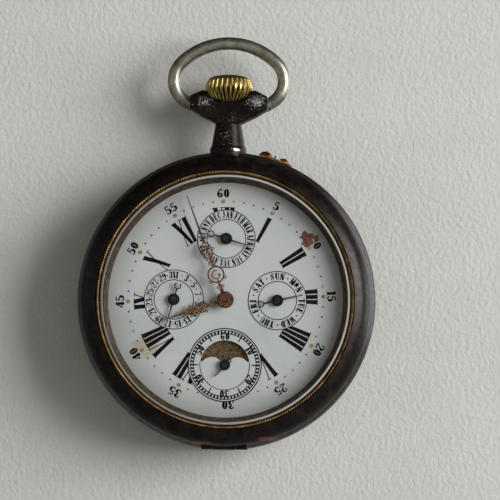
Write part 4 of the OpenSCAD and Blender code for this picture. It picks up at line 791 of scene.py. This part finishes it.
def capital(ch):
    """Shapes of one capital, each a list of an outline and its holes; the last is Y."""
    if ch == "A":
        return [ribbon((-0.27, 0, T), (-0.02, 1, T)), ribbon((0.0, 1, W), (0.24, 0, W)),
                level(-0.2, 0.15, 0.32), level(-0.38, -0.15, FOOT), level(0.08, 0.40, FOOT)]
    if ch == "B":
        return [upright(-0.15), UPPER_BOWL, LOWER_BOWL, level(-0.33, 0, FOOT), level(-0.33, 0, HEAD)]
    if ch == "C":
        return [ROUND_BACK, ribbon((0.25, 0.64, 0.09), (0.25, 1.0, 0.09))]
    if ch == "D":
        return [upright(-0.16), level(-0.33, 0.0, FOOT), level(-0.33, 0.0, HEAD),
                ribbon((-0.1, HEAD, T), (0.05, HEAD, T), (0.24, 0.5, W), (0.05, FOOT, T), (-0.1, FOOT, T))]
    if ch in "EF":
        arms = [upright(-0.13), level(-0.3, 0.27, HEAD), level(-0.1, 0.12, 0.52),
                ribbon((0.27, HEAD, 0.08), (0.27, 0.72, 0.08)),
                ribbon((0.12, 0.65, 0.08), (0.12, 0.39, 0.08))]
        if ch == "F":
            return arms + [level(-0.3, 0.05, FOOT)]
        return arms + [level(-0.3, 0.29, FOOT), ribbon((0.29, FOOT, 0.08), (0.29, 0.30, 0.08))]
    if ch == "G":
        return [ROUND_BACK, ribbon((0.25, 0.64, 0.09), (0.25, 1.0, 0.09)),
                upright(0.24, 0.04, 0.42, 0.17), level(0.08, 0.38, 0.42)]
    if ch == "H":
        return [upright(-0.2), upright(0.2), level(-0.2, 0.2, 0.5)] + stems(-0.2, 0.2)
    if ch == "I":
        return [upright(0)] + stems(0)
    if ch == "J":
        return [ribbon((0.08, 1, W), (0.08, 0.3, W)), level(-0.1, 0.26, HEAD), blob(-0.17, 0.2),
                ribbon((0.08, 0.34, W), (0.02, 0.06, 0.1), (-0.13, 0.03, T), (-0.22, 0.2, T))]
    if ch == "L":
        return [upright(-0.12), level(-0.29, 0.05, HEAD), level(-0.29, 0.27, FOOT),
                ribbon((0.27, FOOT, 0.08), (0.27, 0.34, 0.08))]
    if ch == "M":
        return [ribbon((-0.29, 0, T), (-0.29, 1, T)), upright(0.27), ribbon((-0.26, 1, W), (0.0, 0.08, W)),
                ribbon((0.0, 0.08, T), (0.24, 1, T)), level(-0.39, -0.17, FOOT), level(0.12, 0.42, FOOT)]
    if ch == "N":
        return [ribbon((-0.25, 0, T), (-0.25, 1, T)), ribbon((0.26, 0, T), (0.26, 1, T)),
                ribbon((-0.22, 1, W), (0.23, 0, W)), level(-0.37, -0.12, FOOT), level(0.13, 0.39, HEAD)]
    if ch == "O":
        return [oval(0, 0.5, 0.32, 0.5, W, T)]
    if ch in "PR":
        body = [upright(-0.15), UPPER_BOWL, level(-0.33, 0.02, FOOT), level(-0.33, 0, HEAD)]
        if ch == "P":
            return body
        return body + [ribbon((0.0, 0.52, 0.1), (0.16, 0.3, W), (0.22, 0.06, 0.16), (0.36, 0.05, T))]
    if ch == "S":
        return [ribbon((0.19, 0.72, T), (0.1, 0.93, T), (-0.08, 0.95, 0.1), (-0.17, 0.74, 0.17),
                       (0.0, 0.5, W), (0.18, 0.26, 0.17), (0.06, 0.05, 0.1), (-0.13, 0.07, T),
                       (-0.22, 0.29, T)),
                ribbon((0.21, 0.67, T), (0.21, 0.98, T)), ribbon((-0.23, 0.02, T), (-0.23, 0.33, T))]
    if ch == "T":
        return [upright(0), level(-0.29, 0.29, HEAD), ribbon((-0.28, HEAD, 0.08), (-0.28, 0.7, 0.08)),
                ribbon((0.28, HEAD, 0.08), (0.28, 0.7, 0.08)), level(-0.17, 0.17, FOOT)]
    if ch == "U":
        return [upright(-0.19, 0.3),
                ribbon((-0.19, 0.36, W), (-0.1, 0.08, 0.12), (0.04, 0.035, T), (0.19, 0.16, T),
                       (0.22, 0.4, T)),
                ribbon((0.22, 0.38, T), (0.22, 1, T)), level(-0.36, -0.02, HEAD), level(0.09, 0.34, HEAD)]
    if ch == "V":
        return [ribbon((-0.22, 1, W), (0.0, 0.0, W)), ribbon((0.25, 1, T), (0.05, 0.0, T)),
                level(-0.38, -0.06, HEAD), level(0.12, 0.37, HEAD)]
    if ch == "W":
        return [ribbon((-0.32, 1, 0.2), (-0.14, 0, 0.2)), ribbon((-0.12, 0, T), (0.02, 0.95, T)),
                ribbon((0.0, 1, 0.2), (0.17, 0, 0.2)), ribbon((0.19, 0, T), (0.36, 1, T)),
                level(-0.44, -0.2, HEAD), level(0.26, 0.44, HEAD)]
    return [ribbon((-0.22, 1, W), (0.0, 0.42, W)), ribbon((0.26, 1, T), (0.02, 0.45, T)),
            upright(0.0, 0.0, 0.46), level(-0.38, -0.06, HEAD), level(0.13, 0.38, HEAD),
            level(-0.17, 0.17, FOOT)]


def glyphs(layer, shapes, at, degrees, x0, height, narrow):
    """Draws one glyph x0 mm across from a point of the dial, with its top towards a clock angle."""
    a = math.radians(degrees)
    for shape in shapes:
        loops = []
        for loop in shape:
            flat = [(x0 + x * height * narrow, (y - 0.5) * height) for x, y in loop]
            loops.append([(at[0] + x * math.cos(a) + y * math.sin(a),
                           at[1] - x * math.sin(a) + y * math.cos(a)) for x, y in flat])
        layer.shape(*loops)


ONE_ADVANCE = 0.46
FIGURE_ADVANCE = 0.68


def number(layer, text, at, degrees, height, narrow=1.0):
    """A whole number with its top towards a clock angle, centred on a point of the dial."""
    advance = [(ONE_ADVANCE if ch == "1" else FIGURE_ADVANCE) * height * narrow for ch in text]
    x0 = -sum(advance) / 2
    for ch, step in zip(text, advance):
        glyphs(layer, figure(ch), at, degrees, x0 + step / 2, height, narrow)
        x0 += step


def round_words(layer, words, at, r, spread, tilt, height, narrow):
    """Each word's letters one by one round a ring, so the words follow the circle."""
    for k, word in enumerate(words):
        middle_angle = 360 * k / len(words) + tilt
        for i, letter in enumerate(word):
            a = middle_angle + (i - (len(word) - 1) / 2) * spread
            glyphs(layer, capital(letter), clock(r, a, at), a, 0, height, narrow)


MINUTE_NUMBER_R = 23.3
MINUTE_NUMBER_H = 1.9
MINUTE_NUMBER_NARROW = 1.1
minute_numbers = Print(LEVEL_NUMERALS)
for m in range(5, 61, 5):
    at = on_print(MINUTE_NUMBER_R, 6 * m)
    number(minute_numbers, str(m), at, 6 * m + PRINT_TURN, MINUTE_NUMBER_H, MINUTE_NUMBER_NARROW)
minute_numbers.build("minute_numbers", INK)


# Chip near the ten, where the enamel is gone and reddish copper shows

CHIP_AT = (18.1, 13.6)
CHIP_R = 1.62
CHIP_WIDER = 1.12
CHIP_T = 0.02
CHIP_SIDES = 90
CHIP_WAVES = ((0.20, 3, 1), (0.13, 7, 0), (0.08, 13, 2))
CHIP_STOPS = [(0.42, (0.10, 0.030, 0.020)), (0.56, (0.21, 0.072, 0.050)), (0.60, (0.26, 0.11, 0.085)),
              (0.65, (0.46, 0.40, 0.36))]


def chip_material():
    """Rough copper with pale crumbs of enamel."""
    mat, nd, ln, bsdf = shader("chipped_enamel")
    grain = noise(nd, ln, 750, 3, 0.5, 1.4)
    ln.new(ramp(nd, ln, grain, CHIP_STOPS), bsdf.inputs["Base Color"])
    bsdf.inputs["Roughness"].default_value = 0.5
    bump(nd, ln, bsdf, grain, 0.4, 0.0001)
    return mat


def ragged_outline():
    """A round outline with uneven waves along it."""
    outline = []
    for i in range(CHIP_SIDES):
        t = 2 * math.pi * i / CHIP_SIDES
        r = CHIP_R * (1 + sum(high * math.sin(count * t + shift) for high, count, shift in CHIP_WAVES))
        outline.append((CHIP_AT[0] + CHIP_WIDER * r * math.cos(t), CHIP_AT[1] + r * math.sin(t)))
    return outline


chip = Print(LEVEL_TOP, CHIP_T)
chip.shape(ragged_outline())
chip.build("enamel_chip", chip_material())


# Sub-dials

CALENDAR_RINGS = ((DATE_AT, 6.6, 4.43), (DAY_AT, 6.5, 4.3), (MONTH_AT, 6.45, 4.37))
SECONDS_RINGS = ((8.14, 0.25), (7.68, 0.18), (6.98, 0.18))
GROUND_SIDES = 128
HOLE_R = 0.6
HOLE_SIDES = 24
MOON_HOLE_R = MOON_R + 0.02
white = Print(LEVEL_SUBDIAL)
for at, outer_r, _ in CALENDAR_RINGS:
    white.shape(circle(outer_r, at, GROUND_SIDES), circle(HOLE_R, at, HOLE_SIDES))
white.shape(circle(SECONDS_RINGS[0][0], SECONDS_AT, GROUND_SIDES),
            circle(MOON_HOLE_R, SECONDS_AT, GROUND_SIDES))
white.build("subdial_grounds", enamel_material("subdial_enamel", rim_shade_and_stain=False))

LINE = 0.19
rings = Print(LEVEL_TOP)
for at, outer_r, inner_r in CALENDAR_RINGS:
    for r in (outer_r, inner_r):
        rings.ring(at, r, r - LINE)
for r, line in SECONDS_RINGS:
    rings.ring(SECONDS_AT, r, r - line)

TICK = (6.9, 7.62)
TICK_W = 0.41
LONG_TICK = (5.9, 6.98)
LONG_TICK_W = 0.27
for second in range(60):
    rings.tick(SECONDS_AT, *TICK, 6 * second, TICK_W)
    if second % 10 == 5:
        rings.tick(SECONDS_AT, *LONG_TICK, 6 * second, LONG_TICK_W)
rings.build("subdial_rings", INK)

MOON_LINE = (0.11, -0.05)
MOON_LINE_ANGLES = (84, 276)
moon_line = Print(LEVEL_TOP)
moon_line.arc(SECONDS_AT, MOON_R + MOON_LINE[0], MOON_R + MOON_LINE[1], *MOON_LINE_ANGLES)
moon_line.build("moon_line", INK)

SECONDS_NUMBER_R = 6.32
SECONDS_NUMBER_H = 1.55
seconds_numbers = Print(LEVEL_TOP)
for n in range(0, 60, 10):
    at = clock(SECONDS_NUMBER_R, 6 * n, SECONDS_AT)
    number(seconds_numbers, str(n or 60), at, 6 * n, SECONDS_NUMBER_H)
seconds_numbers.build("seconds_numbers", INK)

DAYS_IN_RING = 31
DATE_R = 5.46
DATE_TILT = 7
DATE_H = 1.46
DATE_NARROW = 0.92
DATE_DOT_R = 0.15
DAY_DOT_R = 0.18
SMALL_DOT_SIDES = 12
date_marks = Print(LEVEL_TOP)
for k in range(DAYS_IN_RING):
    angle = 360 * k / DAYS_IN_RING + DATE_TILT
    at = clock(DATE_R, angle, DATE_AT)
    if k % 2:
        date_marks.dot(at, DATE_DOT_R, SMALL_DOT_SIDES)
    else:
        number(date_marks, str(k + 1), at, angle, DATE_H, DATE_NARROW)
date_marks.build("date_numbers", INK)

DAYS = ["SUN", "MON", "TUE", "WED", "THU", "FRI", "SAT"]
MONTHS = ["JAN", "FEB", "MAR", "APR", "MAY", "JUN", "JUL", "AUG", "SEP", "OCT", "NOV", "DEC"]
DAY_R = 5.36
DAY_TILT = -1
MONTH_R = 5.38
MONTH_TILT = 2.5
day_words = Print(LEVEL_TOP)
round_words(day_words, DAYS, DAY_AT, DAY_R, spread=11.9, tilt=DAY_TILT, height=1.42, narrow=0.92)
for k in range(len(DAYS)):
    angle = 360 * (k + 0.5) / len(DAYS) + DAY_TILT
    day_words.dot(clock(DAY_R, angle, DAY_AT), DAY_DOT_R, SMALL_DOT_SIDES)
day_words.build("day_names", INK)
month_words = Print(LEVEL_TOP)
round_words(month_words, MONTHS, MONTH_AT, MONTH_R, spread=9.1, tilt=MONTH_TILT, height=1.48,
            narrow=0.62)
month_words.build("month_names", INK)


# Stage, light and camera

def plane(name, corners, material):
    """A flat piece of the stage."""
    obj = new_object(name, corners, [list(range(4))])
    obj.data.materials.append(material)
    return obj


def stage_material(name, colour):
    """Pale paint with the stipple of a roller."""
    mat, nd, ln, bsdf = shader(name)
    darker = tuple(c * 0.97 for c in colour)
    lighter = tuple(c * 1.03 for c in colour)
    ln.new(ramp(nd, ln, noise(nd, ln, 60, 6), [(0.3, darker), (0.7, lighter)]), bsdf.inputs["Base Color"])
    bsdf.inputs["Roughness"].default_value = 0.9
    bsdf.inputs["Specular IOR Level"].default_value = 0.1
    bump(nd, ln, bsdf, noise(nd, ln, 950, 5, 0.6, 0.2, (1.1, 1, 0.9)), 0.6, 0.0005)
    return mat


def wall_material():
    """The pale wall shows from the front only, so that it never hides the back of the watch."""
    mat = stage_material("wall_paint", (0.53, 0.532, 0.50))
    nd, ln = mat.node_tree.nodes, mat.node_tree.links
    clear = nd.new("ShaderNodeBsdfTransparent")
    facing = nd.new("ShaderNodeNewGeometry")
    blend = nd.new("ShaderNodeMixShader")
    ln.new(facing.outputs["Backfacing"], blend.inputs[0])
    ln.new(nd["Principled BSDF"].outputs[0], blend.inputs[1])
    ln.new(clear.outputs[0], blend.inputs[2])
    ln.new(blend.outputs[0], nd["Material Output"].inputs["Surface"])
    return mat


WALL_Y = 0.0012
FLOOR_Z = -0.075
STAGE = 0.45
FLOOR_FRONT_Y = -2 * STAGE
wall = plane("wall", [(-STAGE, WALL_Y, FLOOR_Z), (STAGE, WALL_Y, FLOOR_Z),
                      (STAGE, WALL_Y, STAGE), (-STAGE, WALL_Y, STAGE)], wall_material())
wall.visible_diffuse = False
wall.visible_glossy = False
wall.visible_transmission = False
wall.visible_shadow = False
plane("floor", [(-STAGE, FLOOR_FRONT_Y, FLOOR_Z), (STAGE, FLOOR_FRONT_Y, FLOOR_Z),
                (STAGE, STAGE, FLOOR_Z), (-STAGE, STAGE, FLOOR_Z)],
      stage_material("floor", (0.6, 0.6, 0.58)))


def area_light(name, at, size, power, colour=(1, 1, 1)):
    """A soft rectangular lamp that faces the middle of the dial."""
    light = bpy.data.lights.new(name, "AREA")
    light.shape = "RECTANGLE"
    light.size, light.size_y = size
    light.energy = power
    light.color = colour
    obj = bpy.data.objects.new(name, light)
    obj.location = at
    obj.rotation_euler = (-Vector(at)).to_track_quat("-Z", "Y").to_euler()
    bpy.context.scene.collection.objects.link(obj)


area_light("key", (1.12, -0.80, 0.26), size=(0.90, 0.80), power=27.5, colour=(0.97, 0.99, 1.0))
area_light("side_strip", (1.2, 0.3, 0.02), size=(0.3, 0.6), power=3.2)
area_light("back_fill", (0.62, 0.55, 0.05), size=(0.6, 0.9), power=2.6)

ROOM_STOPS = [(0.15, (0.90, 0.87, 0.81)), (0.5, (0.34, 0.325, 0.30)), (0.9, (0.05, 0.046, 0.042))]
DARK_ROOM = (0.02, 0.018, 0.016)
ROOM_STRENGTH = 0.52


def studio_world():
    """Soft light, strongest round the horizon, weaker from above, from below and from behind."""
    studio = bpy.data.worlds.new("studio")
    studio.use_nodes = True
    nd, ln = studio.node_tree.nodes, studio.node_tree.links
    coord = nd.new("ShaderNodeTexCoord")
    split = nd.new("ShaderNodeSeparateXYZ")
    ln.new(coord.outputs["Generated"], split.inputs["Vector"])
    room = ramp(nd, ln, maths(nd, ln, "ABSOLUTE", split.outputs["Z"]), ROOM_STOPS)
    behind = span_of(nd, ln, split.outputs["Y"], 0.0, 0.75, 0.0, 0.5)
    ln.new(mix(nd, ln, behind, room, DARK_ROOM), nd["Background"].inputs["Color"])
    nd["Background"].inputs["Strength"].default_value = ROOM_STRENGTH
    return studio


scene = bpy.context.scene
scene.world = studio_world()
scene.view_settings.view_transform = "Standard"

# Camera: nearly square on, a little from the right and from below, as the photograph shows
VIEW_AZ = 1.4
VIEW_EL = -2.7
VIEW_ROLL = 0.7
DISTANCE = 0.95
FRAME_W = 0.11075
SENSOR_W = 36
AIM = Vector((0.0051, -0.0079, 0.01136))
camera_data = bpy.data.cameras.new("camera")
camera = bpy.data.objects.new("camera", camera_data)
scene.collection.objects.link(camera)
az, el = math.radians(VIEW_AZ), math.radians(VIEW_EL)
back = Vector((math.sin(az) * math.cos(el), -math.cos(az) * math.cos(el), math.sin(el)))
camera_data.sensor_width = SENSOR_W
camera_data.lens = SENSOR_W * DISTANCE / FRAME_W
camera.rotation_mode = "QUATERNION"
aim_turn = (-back).to_track_quat("-Z", "Y").to_matrix()
camera.rotation_quaternion = (aim_turn @ Matrix.Rotation(math.radians(VIEW_ROLL), 3, "Z")).to_quaternion()
camera.location = AIM + back * DISTANCE
camera_data.clip_start, camera_data.clip_end = 0.01, 10
scene.camera = camera
